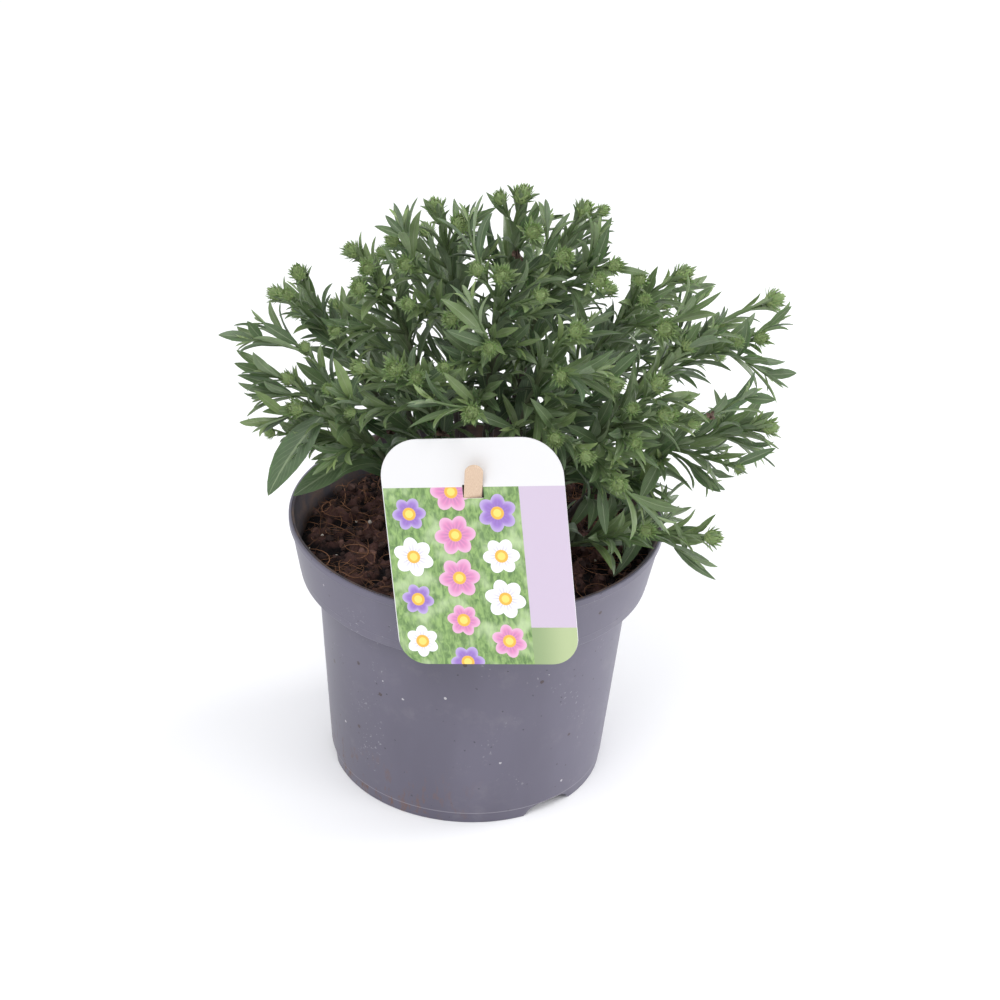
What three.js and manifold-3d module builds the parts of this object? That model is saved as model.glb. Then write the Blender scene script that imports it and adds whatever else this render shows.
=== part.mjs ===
// A potted New York aster in bud: nursery pot, potting soil, the plant's shoots, and a label card on a stake.
// Millimetres, +Z up. The origin is the centre of the pot's underside, and the pot's front faces -Y.
import * as THREE from "three";
import { mergeVertices } from "three/addons/utils/BufferGeometryUtils.js";
import Module from "manifold-3d";

const wasm = await Module();
wasm.setup();

// Clear space kept between two neighbouring pieces.
const GAP = 0.3;

// The pot, turned about Z. Its wall steps out to a collar, which ends in a rolled lip.
const POT_HEIGHT = 128;
const LIP_RADIUS = 85;
const LIP_HEIGHT = 3.6;
const COLLAR_TOP_RADIUS = 84.1;
const COLLAR_FOOT_RADIUS = 79.3;
const COLLAR_FOOT_Z = 99.2;
const BODY_TOP_RADIUS = 71.7;
const BODY_FOOT_RADIUS = 64;
const WALL = 1.5;
const POT_SIDES = 36;

// The underside: a foot ring with three arched notches, and a middle pad that stands on the ground.
const FOOT_HEIGHT = 5.6;
const FOOT_RING_INNER = 60;
const PAD_RADIUS = 30;
const NOTCH_WIDTH = 25;
const NOTCH_COUNT = 3;
const NOTCH_FIRST_DEG = -52;
const DRAIN_RADIUS = 3.5;
const DRAIN_CIRCLE = 50;
const DRAIN_COUNT = 8;

// The soil, with a slightly mounded and lumpy top.
const SOIL_EDGE_Z = 112;
const SOIL_MOUND = 5;
const SOIL_LUMP = 1.3;

// The label card: its size, its corners, and where it leans on the lip.
const CARD_WIDTH = 78;
const CARD_HEIGHT = 100;
const CARD_THICKNESS = 0.6;
const CARD_TOP_CORNER = 17;
const CARD_FOOT_CORNER = 12;
const CARD_ABOVE_LIP = 80;
const CARD_SIDEWAYS = 26;
const CARD_YAW_DEG = -13;
const CARD_LEAN_DEG = 10.2;
const CARD_ROLL_DEG = 10.4;
const SLOT_WIDTH = 9;
const SLOT_HEIGHT = 6;
const SLOT_BELOW_TOP = 23;

// The flat wooden stake goes from the soil through the card's slot.
const STAKE_WIDTH = 7.6;
const STAKE_THICKNESS = 1.2;
const STAKE_LENGTH = 130;
const STAKE_TIP = 15;
const STAKE_LEAN_DEG = 16;

// The plant. Stems are rooted below the soil's top.
const STEM_ROOT_Z = 100;
const STEM_FOOT_RADIUS = 1.7;
const STEM_TIP_RADIUS = 0.9;
const BRANCH_FOOT_RADIUS = 0.95;
const BRANCH_TIP_RADIUS = 0.65;
const STEM_SIDES = 5;
const BRANCH_SIDES = 4;
const STEM_STEPS = 6;
const BRANCH_STEPS = 2;
const CROWN_SHARE = 0.2;

// The leaves clasp their stem: their bases run together in a thin skin round it, between two of its steps.
const SKIN_FIRST_STEP = 2;
const SKIN_LAST_STEP = 5;
const SKIN_THICKNESS = 0.8;

// Flower buds, as rings of [rise, radius] in shares of their width, and where between foot and tip their
// middle is.
const BUD_MIDDLE = 0.45;
const LEADING_BUD = [[0, 0.22], [0.42, 0.5], [0.8, 0.42]];
const SIDE_BUD = [[0.2, 0.42], [0.75, 0.48]];
const LEADING_BUD_SIDES = 6;
const SIDE_BUD_SIDES = 5;

// Leaves stand round a stem in a spiral, long ones low on it and short ones near its head. A leaf that
// would meet a neighbour steps aside about its stem, or is left off.
const LEAF_COUNT = 8;
const LEAF_TURN_DEG = 2 * 137.5;
const SHOOT_TURN_DEG = 70;
const STEP_ASIDE_DEG = [0, 30, -30, 60, -60];
const LEAF_FIRST = 0.34;
const LEAF_LAST = 0.83;
const LEAF_LONG = 44;
const LEAF_SHORT = 17;
const LEAF_SLENDER = 0.24;
const LEAF_THICKNESS = 0.8;
const LEAF_FOLD = 0.2;

// Each shoot's flower heads as [right, back, up, width]. The first stands on the main stem, the others on
// side branches. reach lists single leaves by the stem's share where they grow, their tip and their width.
const SHOOTS = [
  { heads: [[-92, 14, 225, 9], [-85, -5, 234, 7], [-81, 2, 241, 9]],
    reach: [[0.66, -113, 2, 202, 8], [0.7, -101, -6, 212, 7]] },
  { heads: [[-78, -44, 200, 9], [-82, -37, 210, 8]],
    reach: [[0.7, -94, -52, 146, 10], [0.64, -80, -62, 150, 10], [0.8, -107, -32, 180, 8]] },
  { heads: [[-57, -12, 259, 9], [-50, -24, 257, 8], [-53, -33, 252, 8]], reach: [] },
  { heads: [[-36, -60, 229, 10], [-27, -63, 227, 7], [-51, -55, 226, 8]], reach: [] },
  { heads: [[-23, -3, 277, 9], [-12, -17, 276, 11], [-40, -17, 267, 8], [-34, -31, 263, 8],
    [-32, -46, 252, 7]],
    reach: [[0.8, -40, 4, 272, 6], [0.82, -34, 8, 281, 6]] },
  { heads: [[13, -1, 283, 11], [4, -3, 282, 8], [18, -24, 277, 9], [31, -34, 271, 9]], reach: [] },
  { heads: [[6, -43, 265, 10], [-4, -40, 266, 8], [22, -49, 260, 7], [2, -63, 242, 7], [-4, -70, 216, 9],
    [-14, -54, 250, 8]], reach: [] },
  { heads: [[39, -7, 280, 10], [47, -6, 280, 7], [52, -34, 268, 8], [46, -41, 264, 8]],
    reach: [[0.8, 55, 2, 276, 6]] },
  { heads: [[37, -58, 249, 9], [32, -66, 232, 8], [54, -66, 230, 8], [31, -66, 203, 8], [44, -74, 200, 8]],
    reach: [] },
  { heads: [[81, -25, 261, 10], [63, -35, 263, 7], [74, -48, 247, 10]],
    reach: [[0.66, 100, -12, 232, 7]] },
  { heads: [[125, 15, 233, 11], [117, -20, 231, 8]],
    reach: [[0.66, 132, -2, 207, 9], [0.82, 136, 4, 226, 7]] },
  { heads: [[76, -64, 216, 10], [72, -61, 228, 10], [84, -48, 240, 9], [88, -60, 210, 7], [58, -75, 188, 8]],
    reach: [[0.5, 64, -82, 142, 10]] },
  { heads: [[123, -34, 196, 9], [110, -50, 184, 6]],
    reach: [[0.8, 124, -40, 181, 8], [0.66, 114, -48, 171, 9], [0.48, 95, -56, 163, 8]] },
  { heads: [[102, -47, 148, 10], [72, -69, 163, 8]], reach: [[0.8, 105, -54, 132, 5]] },
  { heads: [[-68, 48, 204, 9], [-84, 36, 206, 8], [-52, 60, 222, 8], [-60, 76, 192, 8]], reach: [] },
  { heads: [[-28, 42, 246, 9], [-12, 58, 234, 8], [-46, 30, 240, 8], [-25, 86, 200, 8]], reach: [] },
  { heads: [[34, 42, 244, 10], [22, 66, 232, 8], [56, 58, 214, 8], [25, 90, 196, 8]], reach: [] },
  { heads: [[80, 42, 216, 9], [96, 56, 196, 8], [106, 36, 194, 8], [74, 78, 186, 8]], reach: [] },
];

const MATERIALS = {
  pot: new THREE.MeshStandardMaterial({ color: 0x55525c, roughness: 0.5, metalness: 0 }),
  soil: new THREE.MeshStandardMaterial({ color: 0x3a2620, roughness: 1, metalness: 0 }),
  stem: new THREE.MeshStandardMaterial({ color: 0x4a4238, roughness: 0.7, metalness: 0 }),
  leaf: new THREE.MeshStandardMaterial({ color: 0x3f5b3c, roughness: 0.55, metalness: 0 }),
  bud: new THREE.MeshStandardMaterial({ color: 0x6d9155, roughness: 0.6, metalness: 0 }),
  card: new THREE.MeshStandardMaterial({ color: 0xf4f0f6, roughness: 0.35, metalness: 0 }),
  stake: new THREE.MeshStandardMaterial({ color: 0xcdb093, roughness: 0.8, metalness: 0 }),
};

const rad = THREE.MathUtils.degToRad;
const lerp = THREE.MathUtils.lerp;
const vec = (x, y, z) => new THREE.Vector3(x, y, z);
const UP = vec(0, 0, 1);

// A solid from points and triangles, or from a three.js geometry with its doubled vertices merged.
function solidFrom(points, faces) {
  const vertProperties = new Float32Array(points.flatMap((p) => [p.x, p.y, p.z]));
  return new wasm.Manifold(new wasm.Mesh({ numProp: 3, vertProperties, triVerts: new Uint32Array(faces) }));
}

function solidOf(geometry) {
  const plain = geometry.clone();
  plain.deleteAttribute("normal");
  plain.deleteAttribute("uv");
  const merged = mergeVertices(plain, 1e-4);
  const index = merged.index.array;
  const faces = [];
  for (let i = 0; i < index.length; i += 3) {
    const [a, b, c] = index.slice(i, i + 3);
    if (a !== b && b !== c && c !== a) faces.push(a, b, c);
  }
  const vertProperties = merged.attributes.position.array;
  return new wasm.Manifold(new wasm.Mesh({ numProp: 3, vertProperties, triVerts: new Uint32Array(faces) }));
}

// A named mesh of a solid.
function meshOf(name, solid, material) {
  const mesh = solid.getMesh();
  const geometry = new THREE.BufferGeometry();
  geometry.setAttribute("position", new THREE.BufferAttribute(mesh.vertProperties, 3));
  geometry.setIndex(new THREE.BufferAttribute(mesh.triVerts, 1));
  geometry.computeVertexNormals();
  const made = new THREE.Mesh(geometry, material);
  made.name = name;
  return made;
}

const join = (solids) => solids.reduce((all, one) => all.add(one));

// A ring of points about a centre, in the plane of two directions.
const ringOf = (at, side, over, radius, sides) => Array.from({ length: sides }, (_, s) => {
  const turn = (2 * Math.PI * s) / sides;
  return at.clone()
    .addScaledVector(side, radius * Math.cos(turn))
    .addScaledVector(over, radius * Math.sin(turn));
});

// A closed skin over rings of points, each ring counter-clockwise about the way it goes, with a fan of
// faces to a point at each end.
function loft(first, rings, last) {
  const sides = rings[0].length;
  const points = [first, ...rings.flat(), last];
  const end = 1 + (rings.length - 1) * sides;
  const faces = [];
  for (let s = 0; s < sides; s++) {
    const t = (s + 1) % sides;
    faces.push(0, 1 + t, 1 + s);
    for (let a = 1; a < end; a += sides) {
      faces.push(a + s, a + t, a + sides + t, a + s, a + sides + t, a + sides + s);
    }
    faces.push(end + s, end + t, points.length - 1);
  }
  return solidFrom(points, faces);
}

// A solid turned about Z from a profile of [radius, height] pairs.
function turned(profile) {
  const points = profile.map(([r, z]) => new THREE.Vector2(r, z));
  return new THREE.LatheGeometry(points, POT_SIDES).rotateX(Math.PI / 2);
}

// The radius of a straight wall between two [radius, height] points at a height.
const wallRadius = ([r0, z0], [r1, z1], z) => lerp(r0, r1, (z - z0) / (z1 - z0));

const LIP_FOOT_Z = POT_HEIGHT - LIP_HEIGHT;
const FLOOR_Z = FOOT_HEIGHT + WALL;
const STEP_TOP_Z = COLLAR_FOOT_Z + WALL;
const INNER_BODY = [[BODY_FOOT_RADIUS - WALL, FLOOR_Z], [BODY_TOP_RADIUS - WALL, STEP_TOP_Z]];
const INNER_COLLAR = [[COLLAR_FOOT_RADIUS - WALL, STEP_TOP_Z], [COLLAR_TOP_RADIUS - WALL, LIP_FOOT_Z]];

function makePot() {
  const shell = solidOf(turned([
    [0, 0],
    [PAD_RADIUS, 0],
    [PAD_RADIUS + 3, FOOT_HEIGHT],
    [FOOT_RING_INNER, FOOT_HEIGHT],
    [FOOT_RING_INNER, 0],
    [BODY_FOOT_RADIUS - 0.4, 0],
    [BODY_FOOT_RADIUS, 1],
    [BODY_TOP_RADIUS, COLLAR_FOOT_Z],
    [COLLAR_FOOT_RADIUS, COLLAR_FOOT_Z],
    [COLLAR_TOP_RADIUS, LIP_FOOT_Z],
    [LIP_RADIUS, LIP_FOOT_Z + 0.8],
    [LIP_RADIUS, POT_HEIGHT - 0.6],
    [LIP_RADIUS - 0.8, POT_HEIGHT],
    [LIP_RADIUS - 2.4, POT_HEIGHT],
    ...[...INNER_COLLAR].reverse(),
    ...[...INNER_BODY].reverse(),
    [PAD_RADIUS + 4, FLOOR_Z],
    [PAD_RADIUS + 1, WALL],
    [0, WALL],
  ]));
  const cuts = [];
  for (let k = 0; k < NOTCH_COUNT; k++) {
    const turn = rad(NOTCH_FIRST_DEG + (k * 360) / NOTCH_COUNT);
    const arch = new THREE.CylinderGeometry(NOTCH_WIDTH / 2, NOTCH_WIDTH / 2, 12, 20)
      .rotateZ(Math.PI / 2)
      .scale(1, 1, FOOT_HEIGHT / (NOTCH_WIDTH / 2))
      .translate(BODY_FOOT_RADIUS - 1, 0, 0)
      .rotateZ(turn);
    cuts.push(solidOf(arch));
  }
  for (let k = 0; k < DRAIN_COUNT; k++) {
    const turn = rad((k * 360) / DRAIN_COUNT);
    const hole = new THREE.CylinderGeometry(DRAIN_RADIUS, DRAIN_RADIUS, 6, 10)
      .rotateX(Math.PI / 2)
      .translate(DRAIN_CIRCLE, 0, FOOT_HEIGHT)
      .rotateZ(turn);
    cuts.push(solidOf(hole));
  }
  return shell.subtract(join(cuts));
}

// The height of the soil's top: a low mound with lumps that fade towards the wall.
function soilTop(x, y) {
  const edge = wallRadius(...INNER_COLLAR, SOIL_EDGE_Z);
  const inward = 1 - (x * x + y * y) / (edge * edge);
  const lumps = Math.sin(x * 0.21 + 1) * Math.cos(y * 0.17) + 0.6 * Math.sin((x + y) * 0.33 + 2);
  return SOIL_EDGE_Z + inward * (SOIL_MOUND + SOIL_LUMP * lumps);
}

function makeSoil(cuts) {
  const edge = wallRadius(...INNER_COLLAR, SOIL_EDGE_Z) - GAP;
  const top = [1, 0.82, 0.63, 0.44, 0.22, 0].map((share) => [edge * share, SOIL_EDGE_Z]);
  const geometry = turned([
    [0, WALL + GAP],
    [PAD_RADIUS + 1 - GAP, WALL + GAP],
    [PAD_RADIUS + 4 - GAP, FLOOR_Z + GAP],
    [INNER_BODY[0][0] - GAP, FLOOR_Z + GAP],
    [INNER_BODY[1][0] - GAP, STEP_TOP_Z + GAP],
    [INNER_COLLAR[0][0] - GAP, STEP_TOP_Z + GAP],
    ...top,
  ]);
  const place = geometry.attributes.position;
  for (let i = 0; i < place.count; i++) {
    if (place.getZ(i) > SOIL_EDGE_Z - 0.01) place.setZ(i, soilTop(place.getX(i), place.getY(i)));
  }
  return solidOf(geometry).subtract(join(cuts));
}

// The card lies in its own XZ plane, its face to -Y, with its origin where it leans on the lip.
function makeCard() {
  const [w, top, foot] = [CARD_WIDTH / 2, CARD_ABOVE_LIP, CARD_ABOVE_LIP - CARD_HEIGHT];
  const [rt, rf] = [CARD_TOP_CORNER, CARD_FOOT_CORNER];
  const outline = new THREE.Shape();
  outline.absarc(w - rt, top - rt, rt, 0, Math.PI / 2);
  outline.absarc(-w + rt, top - rt, rt, Math.PI / 2, Math.PI);
  outline.absarc(-w + rf, foot + rf, rf, Math.PI, Math.PI * 1.5);
  outline.absarc(w - rf, foot + rf, rf, Math.PI * 1.5, Math.PI * 2);
  const slot = new THREE.Path();
  const slotTop = top - SLOT_BELOW_TOP + SLOT_HEIGHT / 2;
  slot.moveTo(-SLOT_WIDTH / 2, slotTop - SLOT_HEIGHT);
  slot.lineTo(SLOT_WIDTH / 2, slotTop - SLOT_HEIGHT);
  slot.lineTo(SLOT_WIDTH / 2, slotTop);
  slot.lineTo(-SLOT_WIDTH / 2, slotTop);
  outline.holes.push(slot);
  const depth = CARD_THICKNESS;
  const plate = new THREE.ExtrudeGeometry(outline, { depth, bevelEnabled: false, curveSegments: 6 });
  return solidOf(plate.rotateX(Math.PI / 2));
}

// The stake lies in its own XZ plane with its origin in the slot, and narrows to a round tip.
function stakeGeometry(width, thickness) {
  const outline = new THREE.Shape();
  outline.moveTo(-width / 2, STAKE_TIP - STAKE_LENGTH);
  outline.lineTo(width / 2, STAKE_TIP - STAKE_LENGTH);
  outline.absarc(0, STAKE_TIP - width / 2, width / 2, 0, Math.PI);
  const options = { depth: thickness, bevelEnabled: false, curveSegments: 5 };
  const stick = new THREE.ExtrudeGeometry(outline, options);
  return stick.rotateX(Math.PI / 2).translate(0, thickness / 2, 0);
}

// The rings of a tapered tube along a curve, between two of its steps.
function ringsAlong(curve, footRadius, tipRadius, sides, steps, first = 0, last = steps) {
  const rings = [];
  for (let k = first; k <= last; k++) {
    const { at, side, over } = frameAt(curve, k / steps);
    rings.push(ringOf(at, side, over, lerp(footRadius, tipRadius, k / steps), sides));
  }
  return rings;
}

const limb = (curve, footRadius, tipRadius, sides, steps) =>
  loft(curve.v0, ringsAlong(curve, footRadius, tipRadius, sides, steps), curve.v2);

// The leaves' clasping skin: a tube wall that runs out along the outside and back along the inside.
function claspingSkin(main) {
  const wall = (extra) => ringsAlong(main, STEM_FOOT_RADIUS + extra, STEM_TIP_RADIUS + extra,
    STEM_SIDES, STEM_STEPS, SKIN_FIRST_STEP, SKIN_LAST_STEP);
  const rings = [...wall(GAP + SKIN_THICKNESS), ...wall(GAP).reverse()];
  const faces = [];
  rings.forEach((_, k) => {
    const a = k * STEM_SIDES;
    const b = ((k + 1) % rings.length) * STEM_SIDES;
    for (let s = 0; s < STEM_SIDES; s++) {
      const t = (s + 1) % STEM_SIDES;
      faces.push(a + s, a + t, b + t, a + s, b + t, b + s);
    }
  });
  return solidFrom(rings.flat(), faces);
}

// The point on a curve, its direction, and two directions across it. side stays level on a main stem.
function frameAt(curve, t) {
  const along = curve.getTangent(t);
  const out = curve.v2.clone().sub(curve.v0).setZ(0);
  const side = UP.clone().cross(out);
  side.addScaledVector(along, -along.dot(side)).normalize();
  const over = along.clone().cross(side);
  return { at: curve.getPoint(t), along, side, over };
}

// A leaf blade on its midrib curve: a thin lozenge in section, folded up a little at its edges, widest
// past a third of its length. lift is the side that its upper face looks to, and from its first share.
function blade(midrib, width, lift, thickness = LEAF_THICKNESS, from = 0) {
  const rings = [[from, 0.14], [lerp(from, 1, 0.4), 1]].map(([t, share]) => {
    const at = midrib.getPoint(t);
    const along = midrib.getTangent(t);
    const across = lift.clone().cross(along).normalize();
    const above = along.clone().cross(across);
    const half = (width / 2) * share;
    const edge = half * LEAF_FOLD;
    return [
      at.clone().addScaledVector(across, half).addScaledVector(above, edge),
      at.clone().addScaledVector(above, thickness / 2),
      at.clone().addScaledVector(across, -half).addScaledVector(above, edge),
      at.clone().addScaledVector(above, -thickness / 2),
    ];
  });
  return loft(midrib.getPoint(from), rings, midrib.getPoint(1));
}

// A flower bud on its stalk's tip, which closes to a low dome.
function bud(at, along, width, sides, profile) {
  const side = along.clone().cross(vec(0.3, 0.9, 0.1)).normalize();
  const over = along.clone().cross(side);
  const rings = profile.map(([rise, radius]) =>
    ringOf(at.clone().addScaledVector(along, width * rise), side, over, width * radius, sides));
  return loft(at, rings, at.clone().addScaledVector(along, width));
}

// A shoot's curves: the main stem rises from the crown and bends out to its head, and each side branch
// leaves it the lower, the further its own head stands from the stem's. Each curve ends under its bud,
// whose middle is the head.
function shootCurves(shoot) {
  const [leader, ...others] = shoot.heads.map(([x, y, z]) => vec(x, y, z));
  const foot = vec(leader.x * CROWN_SHARE, leader.y * CROWN_SHARE, STEM_ROOT_Z);
  const bend = foot.clone().lerp(leader, 0.28).setZ(lerp(STEM_ROOT_Z, leader.z, 0.78));
  const endUnder = (head, from, width) =>
    head.clone().add(from.clone().sub(head).setLength(BUD_MIDDLE * width));
  const main = new THREE.QuadraticBezierCurve3(foot, bend, endUnder(leader, bend, shoot.heads[0][3]));
  const length = main.getLength();
  const branches = others.map((head, k) => {
    const t = THREE.MathUtils.clamp(1 - (1.25 * head.distanceTo(leader) + 14) / length, 0.3, 0.92);
    const from = main.getPoint(t);
    const reach = head.distanceTo(from);
    const elbow = from.clone().addScaledVector(main.getTangent(t), reach * 0.12).lerp(head, 0.4);
    return new THREE.QuadraticBezierCurve3(from, elbow, endUnder(head, elbow, shoot.heads[k + 1][3]));
  });
  return { main, branches };
}

// The side branches with their buds, fattened by extra where they clear their neighbours.
function branchesSolid({ branches }, heads, extra) {
  return join(branches.flatMap((branch, k) => [
    limb(branch, BRANCH_FOOT_RADIUS + extra, BRANCH_TIP_RADIUS + extra, BRANCH_SIDES, BRANCH_STEPS),
    bud(branch.getPoint(0.97), branch.getTangent(1), heads[k + 1][3] + 2 * extra, SIDE_BUD_SIDES, SIDE_BUD),
  ]));
}

const mainSolid = ({ main }, extra) =>
  limb(main, STEM_FOOT_RADIUS + extra, STEM_TIP_RADIUS + extra, STEM_SIDES, STEM_STEPS);

// A leaf that starts in its stem's clasping skin and bends from its knee to its tip.
function leafFrom(main, share, out, knee, tip, width, lift) {
  const { at, along } = frameAt(main, share);
  const radius = lerp(STEM_FOOT_RADIUS, STEM_TIP_RADIUS, share) + GAP + 0.05;
  const base = at.clone().addScaledVector(out, radius);
  const midrib = new THREE.QuadraticBezierCurve3(base, knee, tip);
  return { midrib, width, lift: along.clone().addScaledVector(UP, lift) };
}

// A leaf of the regular spiral, turned about its stem: it rises along the stem and bends outward.
function spiralLeaf(main, rise, turn) {
  const share = lerp(LEAF_FIRST, LEAF_LAST, rise);
  const { at, along, side, over } = frameAt(main, share);
  const out = side.clone().multiplyScalar(Math.cos(turn)).addScaledVector(over, Math.sin(turn));
  const size = lerp(LEAF_LONG, LEAF_SHORT, rise);
  const knee = at.clone().addScaledVector(out, size * 0.35).addScaledVector(along, size * 0.45);
  const tip = at.clone().addScaledVector(out, size * 0.82).addScaledVector(along, size * 0.42);
  tip.z -= size * 0.1;
  return leafFrom(main, share, out, knee, tip, size * LEAF_SLENDER, 0.4);
}

// The leaves of a shoot: its single leaves, and then the spiral's, each with the turns it may step aside to.
function leavesOf({ main }, shoot, index) {
  const leaves = [];
  for (const [share, x, y, z, width] of shoot.reach) {
    const { at, along } = frameAt(main, share);
    const tip = vec(x, y, z);
    const way = tip.clone().sub(at);
    const out = way.clone().addScaledVector(along, -way.dot(along)).normalize();
    const knee = at.clone().addScaledVector(way, 0.4).addScaledVector(out, way.length() * 0.2);
    leaves.push([leafFrom(main, share, out, knee, tip, width, 1.2)]);
  }
  for (let k = 0; k < LEAF_COUNT; k++) {
    const turn = k * LEAF_TURN_DEG + index * SHOOT_TURN_DEG;
    leaves.push(STEP_ASIDE_DEG.map((aside) => spiralLeaf(main, k / (LEAF_COUNT - 1), rad(turn + aside))));
  }
  return leaves;
}

// Whether two solids share any space.
const meets = (a, b) => {
  const [p, q] = [a.boundingBox(), b.boundingBox()];
  const apart = [0, 1, 2].some((i) => p.max[i] < q.min[i] || q.max[i] < p.min[i]);
  return !apart && !a.intersect(b).isEmpty();
};

const group = new THREE.Group();
const plant = new THREE.Group();
const label = new THREE.Group();
group.add(plant, label);

const yaw = rad(CARD_YAW_DEG);
const faceRadius = LIP_RADIUS + GAP + CARD_THICKNESS;
label.rotation.set(rad(-CARD_LEAN_DEG), rad(-CARD_ROLL_DEG), yaw, "ZXY");
label.position.set(
  faceRadius * Math.sin(yaw) + CARD_SIDEWAYS * Math.cos(yaw),
  -faceRadius * Math.cos(yaw) + CARD_SIDEWAYS * Math.sin(yaw),
  POT_HEIGHT,
);
const card = meshOf("label_card", makeCard(), MATERIALS.card);
label.add(card);
label.updateMatrixWorld(true);

const stake = meshOf("label_stake", solidOf(stakeGeometry(STAKE_WIDTH, STAKE_THICKNESS)), MATERIALS.stake);
const slotMiddle = vec(0, -CARD_THICKNESS / 2, CARD_ABOVE_LIP - SLOT_BELOW_TOP);
stake.position.copy(slotMiddle.applyMatrix4(label.matrixWorld));
stake.rotation.x = rad(STAKE_LEAN_DEG);
group.add(stake);
group.updateMatrixWorld(true);

const inPlace = (geometry, mesh) => solidOf(geometry.clone().applyMatrix4(mesh.matrixWorld));
const stakeRoom = inPlace(stakeGeometry(STAKE_WIDTH + 2 * GAP, STAKE_THICKNESS + 2 * GAP), stake);

const shoots = SHOOTS.map((shoot, index) => {
  const curves = shootCurves(shoot);
  const width = shoot.heads[0][3];
  const along = curves.main.getTangent(1);
  const seat = curves.main.v2.clone().addScaledVector(along, GAP);
  return {
    name: String(index + 1).padStart(2, "0"),
    stem: mainSolid(curves, 0).add(branchesSolid(curves, shoot.heads, 0)),
    rootRoom: mainSolid(curves, GAP),
    skin: claspingSkin(curves.main).subtract(branchesSolid(curves, shoot.heads, GAP)),
    bud: bud(seat, along, width, LEADING_BUD_SIDES, LEADING_BUD),
    leaves: leavesOf(curves, shoot, index),
  };
});

const pot = makePot();
const soil = makeSoil([stakeRoom, ...shoots.map((shoot) => shoot.rootRoom)]);
group.add(meshOf("pot", pot, MATERIALS.pot), meshOf("soil", soil, MATERIALS.soil));

// A leaf fits where it starts in its own skin and misses its own stem, and where its blade, fattened past
// its first tenth, is clear of all but its own shoot's leaves.
const still = [pot, soil, inPlace(card.geometry, card), inPlace(stake.geometry, stake)];
const grown = shoots.map((shoot) => [shoot.skin]);
function fits({ midrib, width, lift }, leaf, i) {
  if (!meets(leaf, shoots[i].skin) || meets(leaf, shoots[i].stem)) return false;
  const room = blade(midrib, width + 2 * GAP, lift, LEAF_THICKNESS + 3 * GAP, 0.1);
  const others = grown.filter((_, j) => j !== i).flat();
  const taken = [...still, ...shoots.flatMap(({ stem, bud }) => [stem, bud]), ...others];
  return !taken.some((other) => meets(room, other)) && !others.some((other) => meets(leaf, other));
}

shoots.forEach((shoot, i) => {
  for (const turns of shoot.leaves) {
    for (const place of turns) {
      const leaf = blade(place.midrib, place.width, place.lift);
      if (fits(place, leaf, i)) {
        grown[i].push(leaf);
        break;
      }
    }
  }
  plant.add(
    meshOf("stem_" + shoot.name, shoot.stem, MATERIALS.stem),
    meshOf("leaves_" + shoot.name, join(grown[i]), MATERIALS.leaf),
    meshOf("bud_" + shoot.name, shoot.bud, MATERIALS.bud),
  );
});

export default group;
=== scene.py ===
"""A potted New York aster in bud: nursery pot, potting soil, leafy shoots and a label card on a stake.

Shapes are worked out in millimetres as numpy arrays and put into meshes in metres. +Z is up, the origin is
the centre of the pot's underside, and the pot's front faces -Y.
"""

import math

import bpy
import numpy as np
from mathutils import Matrix


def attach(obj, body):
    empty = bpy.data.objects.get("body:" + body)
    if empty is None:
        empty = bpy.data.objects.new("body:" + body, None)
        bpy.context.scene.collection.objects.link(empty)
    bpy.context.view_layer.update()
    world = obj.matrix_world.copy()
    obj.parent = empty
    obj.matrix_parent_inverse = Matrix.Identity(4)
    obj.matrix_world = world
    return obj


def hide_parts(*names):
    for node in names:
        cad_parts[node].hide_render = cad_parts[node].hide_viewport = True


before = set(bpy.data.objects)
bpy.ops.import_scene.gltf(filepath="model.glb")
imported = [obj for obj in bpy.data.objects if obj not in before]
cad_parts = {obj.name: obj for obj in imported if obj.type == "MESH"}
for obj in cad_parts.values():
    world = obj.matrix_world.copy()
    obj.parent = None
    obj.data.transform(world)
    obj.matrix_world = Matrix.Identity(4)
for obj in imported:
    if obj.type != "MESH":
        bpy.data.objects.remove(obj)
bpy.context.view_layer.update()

MM, CENTIMETRE, DECIMETRE = 0.001, 10, 100
UP = np.array([0.0, 0.0, 1.0])
GOLDEN_TURN = 137.5


# Directions and curves

def unit(v):
    return v / np.linalg.norm(v, axis=-1, keepdims=True)


def lerp(a, b, share):
    return a + (b - a) * share


def turn_x(degrees):
    c, s = math.cos(math.radians(degrees)), math.sin(math.radians(degrees))
    return np.array([[1, 0, 0], [0, c, -s], [0, s, c]])


def turn_y(degrees):
    c, s = math.cos(math.radians(degrees)), math.sin(math.radians(degrees))
    return np.array([[c, 0, s], [0, 1, 0], [-s, 0, c]])


def turn_z(degrees):
    c, s = math.cos(math.radians(degrees)), math.sin(math.radians(degrees))
    return np.array([[c, -s, 0], [s, c, 0], [0, 0, 1]])


def bezier(a, b, c, t):
    """Points of the quadratic curve (1-t)^2 a + 2t(1-t) b + t^2 c."""
    t = np.asarray(t, float)[..., None]
    return (1 - t) ** 2 * a + 2 * t * (1 - t) * b + t * t * c


def bezier_way(a, b, c, t):
    """The curve's unit direction, from its derivative 2(1-t)(b-a) + 2t(c-b)."""
    t = np.asarray(t, float)[..., None]
    return unit((1 - t) * (b - a) + t * (c - b))


# The camera, which stands where the photograph was taken

CAMERA_PLACE = np.array([0.0, -922.5, 671.9])
CAMERA_DOWN, CAMERA_YAW, CAMERA_ROLL = 30.23, 0.64, 2.96
CAMERA_LENS, SENSOR = 85.0, 36.0
# The picture's width, and the distance at which one pixel is one unit wide.
PICTURE = 1000
FOCAL = CAMERA_LENS / SENSOR * PICTURE


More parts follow.
